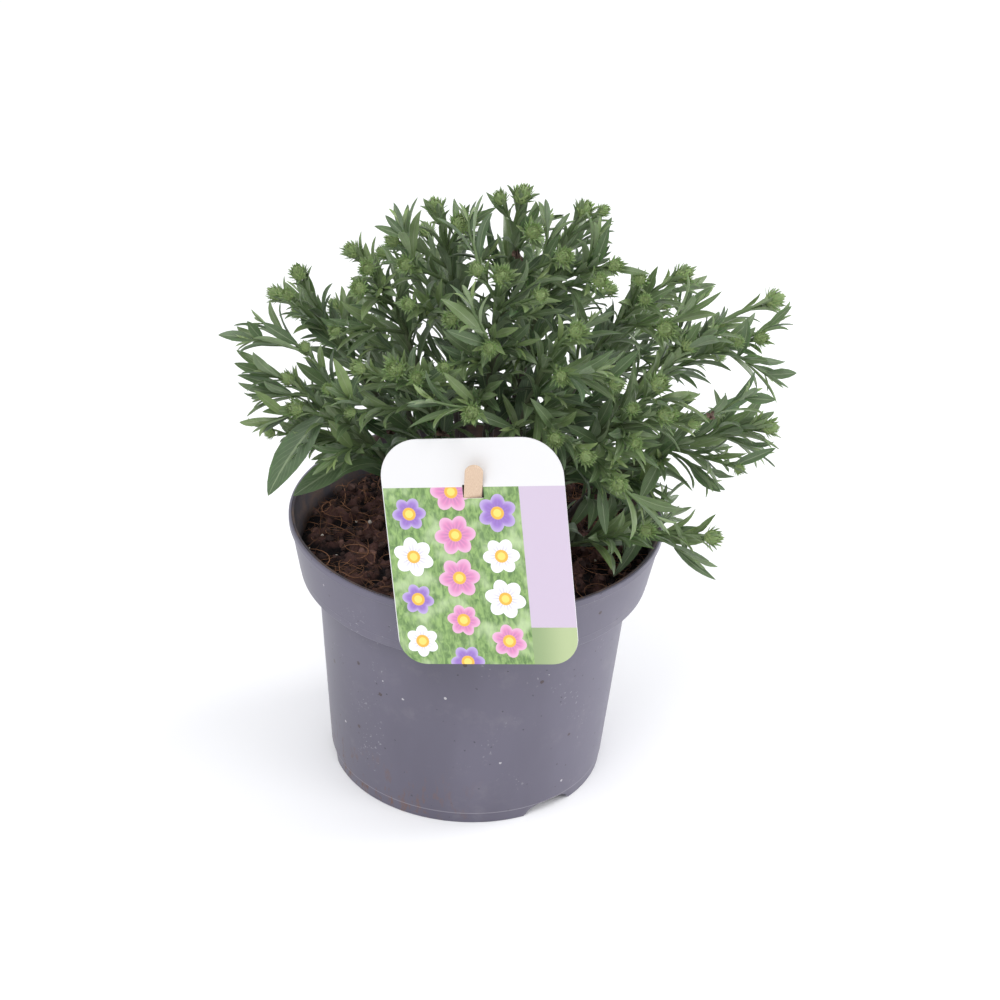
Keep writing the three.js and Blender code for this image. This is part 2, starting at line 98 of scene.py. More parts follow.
def camera_axes():
    """The camera's right, up and forward directions."""
    down, yaw, roll = (math.radians(a) for a in (CAMERA_DOWN, CAMERA_YAW, CAMERA_ROLL))
    ahead = np.array([math.sin(yaw) * math.cos(down), math.cos(yaw) * math.cos(down), -math.sin(down)])
    right = np.array([math.cos(yaw), -math.sin(yaw), 0.0])
    above = np.cross(right, ahead)
    return (math.cos(roll) * right + math.sin(roll) * above,
            math.cos(roll) * above - math.sin(roll) * right, ahead)


def at_pixel(x, y, depth):
    """The point that the picture's pixel (x, y) shows on the upright plane Y = depth."""
    right, above, ahead = camera_axes()
    ray = ahead + (x - PICTURE / 2) / FOCAL * right - (y - PICTURE / 2) / FOCAL * above
    return CAMERA_PLACE + ray * (depth - CAMERA_PLACE[1]) / ray[1]


def in_picture(points):
    """The pixels (x, y) at which the picture shows some points."""
    right, above, ahead = camera_axes()
    off = points - CAMERA_PLACE
    depth = off @ ahead
    x = PICTURE / 2 + FOCAL * (off @ right) / depth
    y = PICTURE / 2 - FOCAL * (off @ above) / depth
    return np.stack([x, y], -1)


def add_camera():
    right, above, ahead = camera_axes()
    data = bpy.data.cameras.new("camera")
    data.lens, data.sensor_width = CAMERA_LENS, SENSOR
    data.clip_start, data.clip_end = 0.05, 20
    camera = bpy.data.objects.new("camera", data)
    matrix = np.eye(4)
    matrix[:3, :3] = np.stack([right, above, -ahead], 1)
    matrix[:3, 3] = CAMERA_PLACE * MM
    camera.matrix_world = Matrix(matrix.tolist())
    bpy.context.collection.objects.link(camera)
    bpy.context.scene.camera = camera


# Skins: points and faces on the way to a mesh

def row_quads(rows, ring, closed=True):
    """Quads between neighbouring rows of a grid whose point (row, column) is number row * ring + column. They
    face outwards when each row runs counter-clockwise about the way from row to row."""
    i, j = np.meshgrid(np.arange(rows - 1), np.arange(ring if closed else ring - 1), indexing="ij")
    k = (j + 1) % ring
    return np.stack([i * ring + j, i * ring + k, (i + 1) * ring + k, (i + 1) * ring + j], -1).reshape(-1, 4)


def end_fans(rows, ring):
    """Triangles that close a closed grid: to point rows * ring before its first row, and to the next point
    after its last."""
    j = np.arange(ring)
    k = (j + 1) % ring
    foot, last = rows * ring, (rows - 1) * ring
    return (np.stack([np.full(ring, foot), k, j], -1),
            np.stack([last + j, last + k, np.full(ring, foot + 1)], -1))


class Skin:
    """The points, faces, UVs, tones and finish numbers of one piece while it is put together."""

    def __init__(self):
        self.points, self.uvs, self.tones = [], [], []
        self.faces, self.finishes = [], []
        self.count = 0

    def add(self, points, faces, finishes=0, uv=None, tone=0.0):
        """Adds points (n, 3) with faces, a list of arrays of point numbers, and a finish number for each
        array or for each face."""
        points = np.asarray(points, float).reshape(-1, 3)
        n = len(points)
        self.points.append(points)
        self.uvs.append(np.zeros((n, 2)) if uv is None else np.broadcast_to(uv, (n, 2)))
        self.tones.append(np.broadcast_to(tone, (n,)))
        for k, face in enumerate(faces):
            finish = finishes[k] if isinstance(finishes, (list, tuple)) else finishes
            self.faces.append(face + self.count)
            self.finishes.append(np.broadcast_to(finish, (len(face),)))
        self.count += n

    def add_copies(self, points, faces, finishes=0, uv=None, tone=0.0):
        """Adds points (copies, n, 3) that all have the same faces."""
        copies, n = points.shape[:2]
        step = (np.arange(copies) * n)[:, None, None]
        every = [(face[None] + step).reshape(-1, face.shape[1]) for face in faces]
        if isinstance(finishes, (list, tuple)):
            finishes = [np.tile(np.broadcast_to(f, (len(face),)), copies) for f, face in zip(finishes, faces)]
        if uv is not None:
            uv = np.broadcast_to(uv, (copies, n, 2)).reshape(-1, 2)
        tone = np.broadcast_to(np.asarray(tone, float).reshape(-1, 1), (copies, n)).reshape(-1)
        self.add(points.reshape(-1, 3), every, finishes, uv, tone)


def make_mesh(name, skin, materials, crease=50):
    """The skin as an object in metres. Edges sharper than crease degrees stay sharp."""
    points = np.concatenate(skin.points) * MM
    faces = [face for array in skin.faces for face in array.tolist()]
    mesh = bpy.data.meshes.new(name)
    mesh.from_pydata(points.tolist(), [], faces)
    for material in materials:
        mesh.materials.append(material)
    mesh.polygons.foreach_set("material_index", np.concatenate(skin.finishes).astype(np.int32))
    corner = np.empty(len(mesh.loops), np.int32)
    mesh.loops.foreach_get("vertex_index", corner)
    mesh.uv_layers.new(name="UVMap").data.foreach_set("uv", np.concatenate(skin.uvs)[corner].ravel())
    tone = mesh.attributes.new("tone", "FLOAT", "POINT")
    tone.data.foreach_set("value", np.concatenate(skin.tones).astype(np.float32))
    mesh.shade_smooth()
    mesh.set_sharp_from_angle(angle=math.radians(crease))
    mesh.update()
    made = bpy.data.objects.new(name, mesh)
    bpy.context.collection.objects.link(made)
    return made


def make_piece(name, skin, materials, replaced=(), crease=50):
    """The skin as an object that rides on the root and stands for the CAD nodes it replaces."""
    made = make_mesh(name, skin, materials, crease)
    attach(made, "root")
    if replaced:
        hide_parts(*replaced)
    return made


def rods(paths, radii, sides, level):
    """Tubes along paths (n, m, 3) with radii (n, m). Each ring is centre + radius (side cos a + over sin a),
    where side is square to the path and to level. A point at each end closes it."""
    way = unit(np.gradient(paths, axis=1))
    side = unit(np.cross(level, way))
    over = np.cross(way, side)
    a = 2 * np.pi * np.arange(sides) / sides
    around = side[:, :, None] * np.cos(a)[:, None] + over[:, :, None] * np.sin(a)[:, None]
    rings = paths[:, :, None] + radii[:, :, None, None] * around
    n, m = paths.shape[:2]
    points = np.concatenate([rings.reshape(n, m * sides, 3), paths[:, :1], paths[:, -1:]], 1)
    along = np.repeat(np.linspace(0, 1, m), sides)
    uv = np.stack([np.tile(np.arange(sides) / sides, m), along], -1)
    uv = np.concatenate([uv, [[0.5, 0], [0.5, 1]]])
    return points, [row_quads(m, sides), *end_fans(m, sides)], uv


# Finishes: materials written as sums of nodes

class Finish:
    """A material under construction. Each method adds one node and returns its output."""

    def __init__(self, name):
        self.material = bpy.data.materials.new(name)
        self.material.use_nodes = True
        self.tree = self.material.node_tree
        self.shader = self.tree.nodes["Principled BSDF"]

    def node(self, kind, output, inputs, **settings):
        made = self.tree.nodes.new("ShaderNode" + kind)
        for key, value in settings.items():
            setattr(made, key, value)
        for key, value in inputs.items():
            if isinstance(value, bpy.types.NodeSocket):
                self.tree.links.new(value, made.inputs[key])
            elif value is not None:
                made.inputs[key].default_value = value
        return made.outputs[output]

    def place(self):
        return self.node("TexCoord", "Object", {})

    def uv(self):
        return self.node("TexCoord", "UV", {})

    def tone(self):
        return self.node("Attribute", "Fac", {}, attribute_name="tone")

    def split(self, vector, axis):
        return self.node("SeparateXYZ", axis, {0: vector})

    def math(self, operation, a, b=None):
        return self.node("Math", 0, {0: a, 1: b}, operation=operation)

    def product(self, a, b):
        return self.math("MULTIPLY", a, b)

    def sum(self, a, b):
        return self.math("ADD", a, b)

    def under(self, value, limit):
        """1 where the value is under the limit, and 0 elsewhere."""
        return self.math("LESS_THAN", value, limit)

    def over(self, value, limit):
        return self.math("GREATER_THAN", value, limit)

    def ragged(self, place, scale, reach):
        """The place pushed about by a noise, so that what is laid there gets a ragged edge."""
        push = self.node("TexNoise", 1, {"Vector": place, "Scale": scale, "Detail": 2.0})
        return self.node("VectorMath", 0, {0: push, 1: (reach * MM,) * 3, 2: place}, operation="MULTIPLY_ADD")

    def stretched(self, vector, scale, turn=(0, 0, 0)):
        return self.node("Mapping", 0, {"Vector": vector, "Scale": scale, "Rotation": turn})

    def noise(self, vector, scale, detail=3.0, rough=0.5, warp=0.0):
        return self.node("TexNoise", 0, {"Vector": vector, "Scale": scale, "Detail": detail,
                                         "Roughness": rough, "Distortion": warp})

    def cells(self, vector, scale, output="Distance"):
        return self.node("TexVoronoi", output, {"Vector": vector, "Scale": scale})

    def specks(self, place, scale, size, rarity):
        """1 on small specks at the middles of the cells whose chance is over rarity, and 0 elsewhere."""
        near = self.under(self.cells(place, scale), size)
        chance = self.split(self.cells(place, scale, "Color"), "X")
        return self.product(near, self.over(chance, rarity))

    def between(self, value, low, high, to_low=0.0, to_high=1.0):
        """The value carried from low..high to to_low..to_high, smoothly and without leaving that range."""
        ends = {"From Min": low, "From Max": high, "To Min": to_low, "To Max": to_high}
        return self.node("MapRange", 0, {"Value": value, **ends}, interpolation_type="SMOOTHSTEP")

    def mix(self, share, a, b, blend="MIX"):
        made = self.tree.nodes.new("ShaderNodeMix")
        made.data_type, made.blend_type = "RGBA", blend
        for key, value in ((0, share), (6, a), (7, b)):
            if isinstance(value, bpy.types.NodeSocket):
                self.tree.links.new(value, made.inputs[key])
            else:
                made.inputs[key].default_value = value if key == 0 else (*value, 1)
        return made.outputs[2]

    def bump(self, height, strength, distance, under=None):
        return self.node("Bump", 0, {"Height": height, "Strength": strength, "Distance": distance * MM,
                                     "Normal": under})

    def surface(self, **inputs):
        """Sets or links the shader's sockets, such as Base_Color and Roughness, and returns the material."""
        for key, value in inputs.items():
            socket = self.shader.inputs[key.replace("_", " ")]
            if isinstance(value, bpy.types.NodeSocket):
                self.tree.links.new(value, socket)
            elif isinstance(value, tuple):
                socket.default_value = (*value, 1)[:len(socket.default_value)]
            else:
                socket.default_value = value
        return self.material


def pot_plastic():
    """Satin violet-grey plastic: broad streaks, dust haze, pale scuffs in patches, tiny pale and brown
    specks, a pale line along the foot, and brown soil smears that thicken towards the foot."""
    f = Finish("pot_plastic")
    at = f.place()
    broad = f.noise(f.stretched(at, (1, 1, 0.35)), 24, 4)
    fine = f.noise(at, 900, 2)
    grey = f.mix(f.between(broad, 0.3, 0.7), (0.097, 0.09, 0.127), (0.121, 0.113, 0.157))
    dust = f.product(f.between(f.noise(at, 55, 6, 0.7), 0.52, 0.75), 0.16)
    grey = f.mix(dust, grey, (0.26, 0.24, 0.26))
    scuffs = f.between(f.noise(at, 640, 2), 0.64, 0.69)
    scuffed = f.product(scuffs, f.between(f.noise(at, 34, 3), 0.57, 0.69, 0, 0.38))
    grey = f.mix(scuffed, grey, (0.42, 0.4, 0.42))
    spot = f.ragged(at, 1400, 0.8)
    for scale, size, rarity, share, colour in ((110, 0.075, 0.72, 0.85, (0.5, 0.48, 0.5)),
                                               (85, 0.085, 0.6, 0.75, (0.05, 0.026, 0.02)),
                                               (230, 0.1, 0.62, 0.7, (0.04, 0.034, 0.044))):
        grey = f.mix(f.product(f.specks(spot, scale, size, rarity), share), grey, colour)
    low = f.between(f.split(at, "Z"), 0.036, 0.002)
    near = f.between(f.split(at, "X"), 0.02, -0.035)
    smears = f.between(f.noise(f.stretched(at, (1, 1, 0.35)), 300, 5, 0.65), 0.54, 0.66)
    soiled = f.product(f.product(smears, low), f.product(near, 0.85))
    grey = f.mix(soiled, grey, (0.17, 0.09, 0.06))
    off_line = f.math("SUBTRACT", f.split(at, "Z"), (FOOT_HEIGHT + 0.2) * MM)
    foot_line = f.under(f.math("ABSOLUTE", off_line), 0.3 * MM)
    grey = f.mix(f.product(foot_line, 0.5), grey, (0.3, 0.28, 0.32))
    rough = f.sum(f.product(soiled, 0.3), f.between(broad, 0.3, 0.8, 0.36, 0.46))
    return f.surface(Base_Color=grey, Roughness=rough, Specular_IOR_Level=0.5,
                     Normal=f.bump(fine, 0.12, 0.15))


def pot_inside():
    """The pot's inner wall: its plastic painted dark as shade inside the pot, and dusted with dry soil."""
    f = Finish("pot_inside")
    at = f.place()
    dusty = f.between(f.noise(at, 70, 6, 0.7), 0.42, 0.68)
    # The dark violet-grey is painted shade on the inner wall; the brown mixed in is real dry soil dust.
    colour = f.mix(dusty, (0.035, 0.03, 0.04), (0.1, 0.06, 0.045))
    return f.surface(Base_Color=colour, Roughness=0.7, Normal=f.bump(f.noise(at, 600, 3), 0.3, 0.2))


def potting_soil():
    """Dark red-brown peat with lighter fibrous patches, painted shade that turns its hollows black, and
    painted light on its lumps.
    """
    f = Finish("potting_soil")
    at = f.place()
    patch = f.noise(at, 90, 6, 0.65, 0.6)
    grain = f.noise(at, 480, 6, 0.75, 2.0)
    # The tone is the soil's height: painted shade in the hollows and painted light on the lumps, plus real
    # peat patches from the noise.
    high = f.sum(f.tone(), f.product(f.math("SUBTRACT", patch, 0.5), 1.1))
    colour = f.mix(f.between(high, 0.25, 0.8), (0.014, 0.011, 0.013), (0.135, 0.068, 0.06))
    colour = f.mix(f.between(grain, 0.55, 0.75, 0, 0.55), colour, (0.24, 0.12, 0.075))
    bump = f.bump(grain, 1.0, 2.2, f.bump(patch, 0.7, 3.0))
    return f.surface(Base_Color=colour, Roughness=0.95, Specular_IOR_Level=0.2, Normal=bump)


def soil_bits(name, dark, light):
    """Crumbs or fibres, each its own shade between dark and light by its tone."""
    f = Finish(name)
    at = f.place()
    shade = f.sum(f.product(f.tone(), 0.8), f.product(f.noise(at, 500, 3), 0.3))
    return f.surface(Base_Color=f.mix(shade, dark, light), Roughness=0.9, Specular_IOR_Level=0.2,
                     Normal=f.bump(f.noise(at, 1500, 3), 0.4, 0.2))


def stem_bark():
    """Smooth stems, dark purple-brown below and green towards the tips by tone, with fine ribs along them."""
    f = Finish("stem_bark")
    at = f.place()
    green = f.between(f.sum(f.tone(), f.product(f.noise(at, 150, 3), 0.3)), 0.35, 1.0)
    colour = f.mix(green, (0.05, 0.032, 0.034), (0.105, 0.16, 0.06))
    ribs = f.math("SINE", f.product(f.split(f.uv(), "X"), 2 * math.pi * 5))
    return f.surface(Base_Color=colour, Roughness=0.6, Normal=f.bump(ribs, 0.3, 0.12))


def leaf_finish(name, old, young, rib, rough):
    """Leaf skin. Its tone goes from old to young, the midrib is a pale line at UV X = 0.5, side veins leave
    it at an angle, and the colour is mottled."""
    f = Finish(name)
    at, uv = f.place(), f.uv()
    x, y = f.split(uv, "X"), f.split(uv, "Y")
    off = f.math("ABSOLUTE", f.math("SUBTRACT", x, 0.5))
    colour = f.mix(f.tone(), old, young)
    mottle = f.between(f.noise(at, 260, 4, 0.6), 0.3, 0.7, 0.0, 0.35)
    colour = f.mix(mottle, colour, f.mix(0.5, colour, (0.0, 0.01, 0.0)))
    veins = f.math("SINE", f.product(f.math("SUBTRACT", y, f.product(off, 0.7)), 62))
    veins = f.between(veins, 0.75, 1.0, 0, 0.22)
    line = f.between(off, 0.055, 0.015)
    colour = f.mix(f.product(veins, f.between(off, 0.48, 0.3)), colour, rib)
    colour = f.mix(f.product(line, 0.62), colour, rib)
    skin = f.bump(f.noise(at, 900, 3), 0.25, 0.12, f.bump(veins, 0.35, 0.1))
    return f.surface(Base_Color=colour, Roughness=rough, Specular_IOR_Level=0.4, Normal=skin,
                     Subsurface_Weight=0.08, Subsurface_Radius=(0.4, 0.9, 0.2), Subsurface_Scale=0.001)


def bud_finish():
    """Bud scales: pale at the foot, fresh green along the back, paler on the higher scales by tone, and
    browner at some tips.
    """
    f = Finish("bud_green")
    at, along = f.place(), f.split(f.uv(), "Y")
    tone = f.tone()
    colour = f.mix(f.between(along, 0.0, 0.55), (0.25, 0.335, 0.13), (0.18, 0.265, 0.11))
    colour = f.mix(f.product(tone, 0.6), colour, (0.33, 0.41, 0.18))
    burnt = f.product(f.between(along, 0.8, 1.0), f.between(f.noise(at, 130, 2), 0.56, 0.66))
    colour = f.mix(f.product(burnt, 0.5), colour, (0.2, 0.11, 0.06))
    return f.surface(Base_Color=colour, Roughness=0.6, Specular_IOR_Level=0.35,
                     Subsurface_Weight=0.1, Subsurface_Radius=(0.4, 0.9, 0.2), Subsurface_Scale=0.001)


def withered():
    f = Finish("withered_leaf")
    at = f.place()
    colour = f.mix(f.between(f.noise(at, 400, 4), 0.35, 0.65), (0.06, 0.036, 0.028), (0.17, 0.105, 0.075))
    return f.surface(Base_Color=colour, Roughness=0.8, Normal=f.bump(f.noise(at, 900, 3), 0.6, 0.3))


# The card's print, in millimetres on the card. Its picture is a half-drop pattern of round blossoms.
PRINT_LEFT, PRINT_RIGHT, PRINT_TOP = -38.7, 19.5, 59.0
BLOSSOM_STEP = 19.0
BLOSSOM_PETALS = 6
BAND_TOP = -3.4


def card_print():
    """The card's printed face. UV is the place on the card in decimetres. Petal count times the angle about
    the nearest blossom's middle sets the blossom's outline: radius = size * (0.72 + 0.28 |cos(n a / 2)|)."""
    f = Finish("card_print")
    uv = f.uv()
    x = f.product(f.split(uv, "X"), DECIMETRE)
    y = f.product(f.split(uv, "Y"), DECIMETRE)

    def inside(value, low, high):
        return f.product(f.over(value, low), f.under(value, high))

    leaf = f.noise(f.stretched(uv, (60, 26, 1), (0, 0, 0.5)), 1, 3, 0.55, 0.7)
    glow = f.noise(f.stretched(uv, (9, 9, 1)), 1, 2)
    ground = f.mix(f.between(leaf, 0.3, 0.7), (0.1, 0.19, 0.06), (0.27, 0.42, 0.14))
    ground = f.mix(f.between(glow, 0.45, 0.7, 0, 0.7), ground, (0.5, 0.63, 0.36))
    column = f.math("DIVIDE", x, BLOSSOM_STEP)
    drop = f.product(f.math("FLOOR", column), 0.5)
    row = f.sum(f.math("DIVIDE", y, BLOSSOM_STEP), drop)
    cell = f.node("CombineXYZ", 0, {0: f.math("FLOOR", column), 1: f.math("FLOOR", row), 2: 3.0})
    chance = f.node("TexWhiteNoise", "Value", {"Vector": cell}, noise_dimensions="3D")
    dx = f.math("SUBTRACT", f.math("FRACT", column), 0.5)
    dy = f.math("SUBTRACT", f.math("FRACT", row), 0.5)
    off = f.math("SQRT", f.sum(f.product(dx, dx), f.product(dy, dy)))
    angle = f.sum(f.math("ARCTAN2", dy, dx), f.product(chance, 6.3))
    lobe = f.math("ABSOLUTE", f.math("COSINE", f.product(angle, BLOSSOM_PETALS / 2)))
    big = f.sum(f.product(f.math("FRACT", f.product(chance, 7.3)), 0.14), 0.34)
    reach = f.product(f.sum(f.product(lobe, 0.28), 0.72), big)
    share = f.math("DIVIDE", off, reach)
    hue = f.node("ValToRGB", 0, {0: chance})
    ramp = hue.node.color_ramp
    ramp.interpolation = "CONSTANT"
    ramp.elements[0].color = (0.3, 0.17, 0.52, 1)
    ramp.elements[1].position, ramp.elements[1].color = 0.34, (0.84, 0.84, 0.86, 1)
    last = ramp.elements.new(0.67)
    last.color = (0.68, 0.25, 0.46, 1)
    streak = f.math("ABSOLUTE", f.math("SINE", f.product(angle, BLOSSOM_PETALS * 1.5)))
    petal = f.mix(f.product(streak, f.between(share, 1.0, 0.3, 0, 0.4)), hue, (0.2, 0.13, 0.3))
    petal = f.mix(f.between(share, 0.62, 1.0, 0, 0.3), petal, (0.8, 0.78, 0.86))
    picture = f.mix(f.under(share, 1.0), ground, petal)
    picture = f.mix(f.under(off, 0.15), picture, (0.75, 0.42, 0.06))
    picture = f.mix(f.under(off, 0.09), picture, (0.85, 0.64, 0.15))
    paper = (0.7, 0.695, 0.7)
    band = f.mix(f.between(x, PRINT_RIGHT, 36.0), (0.26, 0.35, 0.17), (0.42, 0.5, 0.27))
    strip = f.mix(inside(y, BAND_TOP, PRINT_TOP), band, (0.55, 0.465, 0.58))
    body = f.mix(f.under(x, PRINT_RIGHT), strip, picture)
    framed = f.product(inside(x, PRINT_LEFT, 50.0), f.under(y, PRINT_TOP))
    colour = f.mix(framed, paper, body)
    return f.surface(Base_Color=colour, Roughness=0.32, Specular_IOR_Level=0.5)


def card_back():
    f = Finish("card_back")
    return f.surface(Base_Color=f.mix(f.between(f.noise(f.place(), 200, 4), 0.3, 0.7, 0, 0.4),
                                      (0.83, 0.82, 0.84), (0.76, 0.75, 0.77)), Roughness=0.5)


def stake_wood():
    """Raw pale wood with fine grain along the stake, darker and soiled towards its foot."""
    f = Finish("stake_wood")
    at, uv = f.place(), f.uv()
    grain = f.noise(f.stretched(uv, (14, 1.2, 1)), 6, 5, 0.65, 0.3)
    colour = f.mix(f.between(grain, 0.3, 0.7), (0.55, 0.38, 0.26), (0.74, 0.58, 0.44))
    wet = f.between(f.sum(f.split(at, "Z"), f.product(f.noise(at, 200), 0.01)), 0.128, 0.114)
    colour = f.mix(f.product(wet, 0.7), colour, (0.12, 0.07, 0.045))
    return f.surface(Base_Color=colour, Roughness=0.78, Normal=f.bump(grain, 0.4, 0.2))


# The pot

LIP_RADIUS, POT_HEIGHT, LIP_FOOT_Z = 85.0, 128.0, 124.4
COLLAR_TOP_RADIUS, COLLAR_FOOT_RADIUS, COLLAR_FOOT_Z = 84.1, 79.3, 99.2
BODY_TOP_RADIUS, BODY_FOOT_RADIUS, WALL = 71.7, 64.0, 1.5
FOOT_HEIGHT, FOOT_RING_INNER, PAD_RADIUS = 5.6, 60.0, 30.0
NOTCH_WIDTH, NOTCH_COUNT, NOTCH_FIRST = 25.0, 3, -52.0
DRAIN_RADIUS, DRAIN_CIRCLE, DRAIN_COUNT = 3.5, 50.0, 8
POT_STEPS = 360


def rounded(corners, reach, steps=4):
    """A profile through the corners, each cut back by its reach and bridged by a quadratic curve."""
    corners = np.array(corners, float)
    made = [corners[:1]]
    for k in range(1, len(corners) - 1):
        here = corners[k]
        back, on = corners[k - 1] - here, corners[k + 1] - here
        cut = reach[k]
        if not cut:
            made.append(here[None])
            continue
        start = here + back * min(0.5, cut / np.linalg.norm(back))
        end = here + on * min(0.5, cut / np.linalg.norm(on))
        made.append(bezier(start, here, end, np.linspace(0, 1, steps + 1)))
    return np.concatenate([*made, corners[-1:]])


def wall_radius(foot, top, z):
    return lerp(foot[0], top[0], (z - foot[1]) / (top[1] - foot[1]))


def make_pot():
    """The pot, turned about Z from a profile that runs from the underside's middle out, up the outside, over
    the lip and down the inside. Below the foot line the profile is squeezed up in each notch to an arch:
    z = FOOT_HEIGHT * sqrt(1 - (distance / half width)^2)."""
    seam, edge = 104.5, 0.3
    seam_radius = wall_radius((COLLAR_FOOT_RADIUS, COLLAR_FOOT_Z), (COLLAR_TOP_RADIUS, LIP_FOOT_Z), seam)
    line_radius = wall_radius((BODY_FOOT_RADIUS, 0), (BODY_TOP_RADIUS, COLLAR_FOOT_Z), FOOT_HEIGHT)
    outside = [
        # radius, height, reach of its rounding
        (0, 0, 0), (PAD_RADIUS, 0, 0.8), (PAD_RADIUS + 3, FOOT_HEIGHT, 0.8),
        (FOOT_RING_INNER, FOOT_HEIGHT, 0.4), (FOOT_RING_INNER, 0, 0.2), (BODY_FOOT_RADIUS - edge, 0, 0.5),
        (line_radius - edge, FOOT_HEIGHT - edge, 0.1), (line_radius, FOOT_HEIGHT, 0.1),
        (BODY_TOP_RADIUS, COLLAR_FOOT_Z, 0.8), (COLLAR_FOOT_RADIUS, COLLAR_FOOT_Z, 1.4),
        (seam_radius - 0.15, seam - 0.5, 0.1), (seam_radius + 0.05, seam - 0.2, 0.1),
        (seam_radius + 0.1, seam + 0.3, 0.2),
        (COLLAR_TOP_RADIUS, LIP_FOOT_Z, 0.4), (LIP_RADIUS, LIP_FOOT_Z + 0.5, 0.4),
        (LIP_RADIUS, POT_HEIGHT - 0.2, 0.7), (LIP_RADIUS - 1.1, POT_HEIGHT, 0.15),
        (LIP_RADIUS - 1.35, POT_HEIGHT - 0.4, 0.1), (LIP_RADIUS - 1.6, POT_HEIGHT, 0.15),
    ]
    inside = [
        (LIP_RADIUS - 2.5, POT_HEIGHT, 0.5), (COLLAR_TOP_RADIUS - WALL, LIP_FOOT_Z, 0.6),
        (COLLAR_FOOT_RADIUS - WALL, COLLAR_FOOT_Z + WALL, 1.0),
        (BODY_TOP_RADIUS - WALL, COLLAR_FOOT_Z + WALL, 0.8),
        (BODY_FOOT_RADIUS - WALL, FOOT_HEIGHT + WALL, 1.5), (PAD_RADIUS + 4, FOOT_HEIGHT + WALL, 0.8),
        (PAD_RADIUS + 1, WALL, 0.8), (0, WALL, 0),
    ]
    corners = outside + inside
    profile = rounded([c[:2] for c in corners], [c[2] for c in corners])[1:-1]
    # Long straight stretches get six rows more.
    wall_share, long_stretch = np.linspace(0.12, 0.88, 6), 12
    rows = [profile[:1]]
    for a, b in zip(profile[:-1], profile[1:]):
        if np.linalg.norm(b - a) > long_stretch:
            rows.append(lerp(a, b, wall_share[:, None]))
        rows.append(b[None])
    profile = np.concatenate(rows)
    turn = np.radians(np.arange(POT_STEPS) * 360 / POT_STEPS)
    radius, z = (np.repeat(profile[:, k][:, None], POT_STEPS, 1) for k in (0, 1))
    notch = np.radians(NOTCH_FIRST + np.arange(NOTCH_COUNT) * 360 / NOTCH_COUNT)
    apart = np.abs((turn[:, None] - notch + np.pi) % (2 * np.pi) - np.pi).min(1) * BODY_FOOT_RADIUS
    arch = (FOOT_HEIGHT - 0.25) * np.sqrt(np.clip(1 - (apart / (NOTCH_WIDTH / 2)) ** 2, 0, 1))
    outer = (profile[:, 0] > FOOT_RING_INNER - 0.5) & (profile[:, 1] < FOOT_HEIGHT - 0.2)
    outer &= np.arange(len(profile)) < len(profile) // 2
    z = np.where(outer[:, None], arch + z * (1 - arch / FOOT_HEIGHT), z)
    points = np.stack([radius * np.cos(turn), radius * np.sin(turn), z], -1).reshape(-1, 3)
    middles = np.array([[0, 0, 0.0], [0, 0, WALL]])
    rows, lip_rows = len(profile), 6
    inner_row = int(np.argmax(profile[:, 1] > POT_HEIGHT - 0.05)) + lip_rows
    wall_finish = np.repeat((np.arange(rows - 1) >= inner_row).astype(int), POT_STEPS)
    skin = Skin()
    skin.add(np.concatenate([points, middles]), [row_quads(rows, POT_STEPS), *end_fans(rows, POT_STEPS)],
             [wall_finish, 0, 1])
    pot = make_piece("pot_shell", skin, [pot_plastic(), pot_inside()], ["pot"], 35)
    drill_drains(pot)


def drill_drains(pot):
    """Cuts the drain holes through the raised underside with short upright rods."""
    turn, spare = np.radians(np.arange(DRAIN_COUNT) * 360 / DRAIN_COUNT), 3
    x, y = DRAIN_CIRCLE * np.cos(turn), DRAIN_CIRCLE * np.sin(turn)
    foot = np.stack([x, y, 0 * turn + FOOT_HEIGHT - spare], -1)
    paths = foot[:, None] + np.linspace(0, WALL + 2 * spare, 3)[:, None] * UP
    points, faces, _ = rods(paths, np.full((DRAIN_COUNT, 3), DRAIN_RADIUS), 24, np.array([1.0, 0, 0]))
    skin = Skin()
    skin.add_copies(points, faces)
    drill = make_mesh("drill", skin, [])
    cut = pot.modifiers.new("drains", "BOOLEAN")
    cut.operation, cut.object, cut.solver = "DIFFERENCE", drill, "EXACT"
    graph = bpy.context.evaluated_depsgraph_get()
    cut_mesh = bpy.data.meshes.new_from_object(pot.evaluated_get(graph))
    pot.modifiers.clear()
    pot.data = cut_mesh
    bpy.data.objects.remove(drill)


# The soil

SOIL_EDGE_Z, SOIL_MOUND, SOIL_ROLL = 112.0, 5.0, 4.0
SOIL_GAP = 0.3
CRUMBS, GRITS, FIBRES = 1300, 26, 1100
SOIL_RADIUS = wall_radius((COLLAR_FOOT_RADIUS - WALL, COLLAR_FOOT_Z + WALL),
                          (COLLAR_TOP_RADIUS - WALL, LIP_FOOT_Z), SOIL_EDGE_Z) - SOIL_GAP
WAVES = np.random.default_rng(5)
WAVE_LONG = np.concatenate([WAVES.uniform(14, 26, 8), WAVES.uniform(6, 12, 22), WAVES.uniform(2.4, 4.5, 30)])
WAVE_TURN = WAVES.uniform(0, 2 * np.pi, len(WAVE_LONG))
WAVE_PHASE = WAVES.uniform(0, 2 * np.pi, len(WAVE_LONG))


def soil_height(x, y):
    """The soil's top: a low mound, plus waves of many lengths and directions whose height is 0.05 of their
    length, and a roll down to the pot's wall."""
    share = np.hypot(x, y) / SOIL_RADIUS
    ahead = x[..., None] * np.cos(WAVE_TURN) + y[..., None] * np.sin(WAVE_TURN)
    waves = (0.05 * WAVE_LONG * np.sin(2 * np.pi * ahead / WAVE_LONG + WAVE_PHASE)).sum(-1)
    fade = 1 - np.clip(share, 0, 1) ** 8
    roll = SOIL_ROLL * np.clip(share, 0, 1) ** 12
    return SOIL_EDGE_Z + SOIL_MOUND * (1 - share**2) + waves * fade - roll


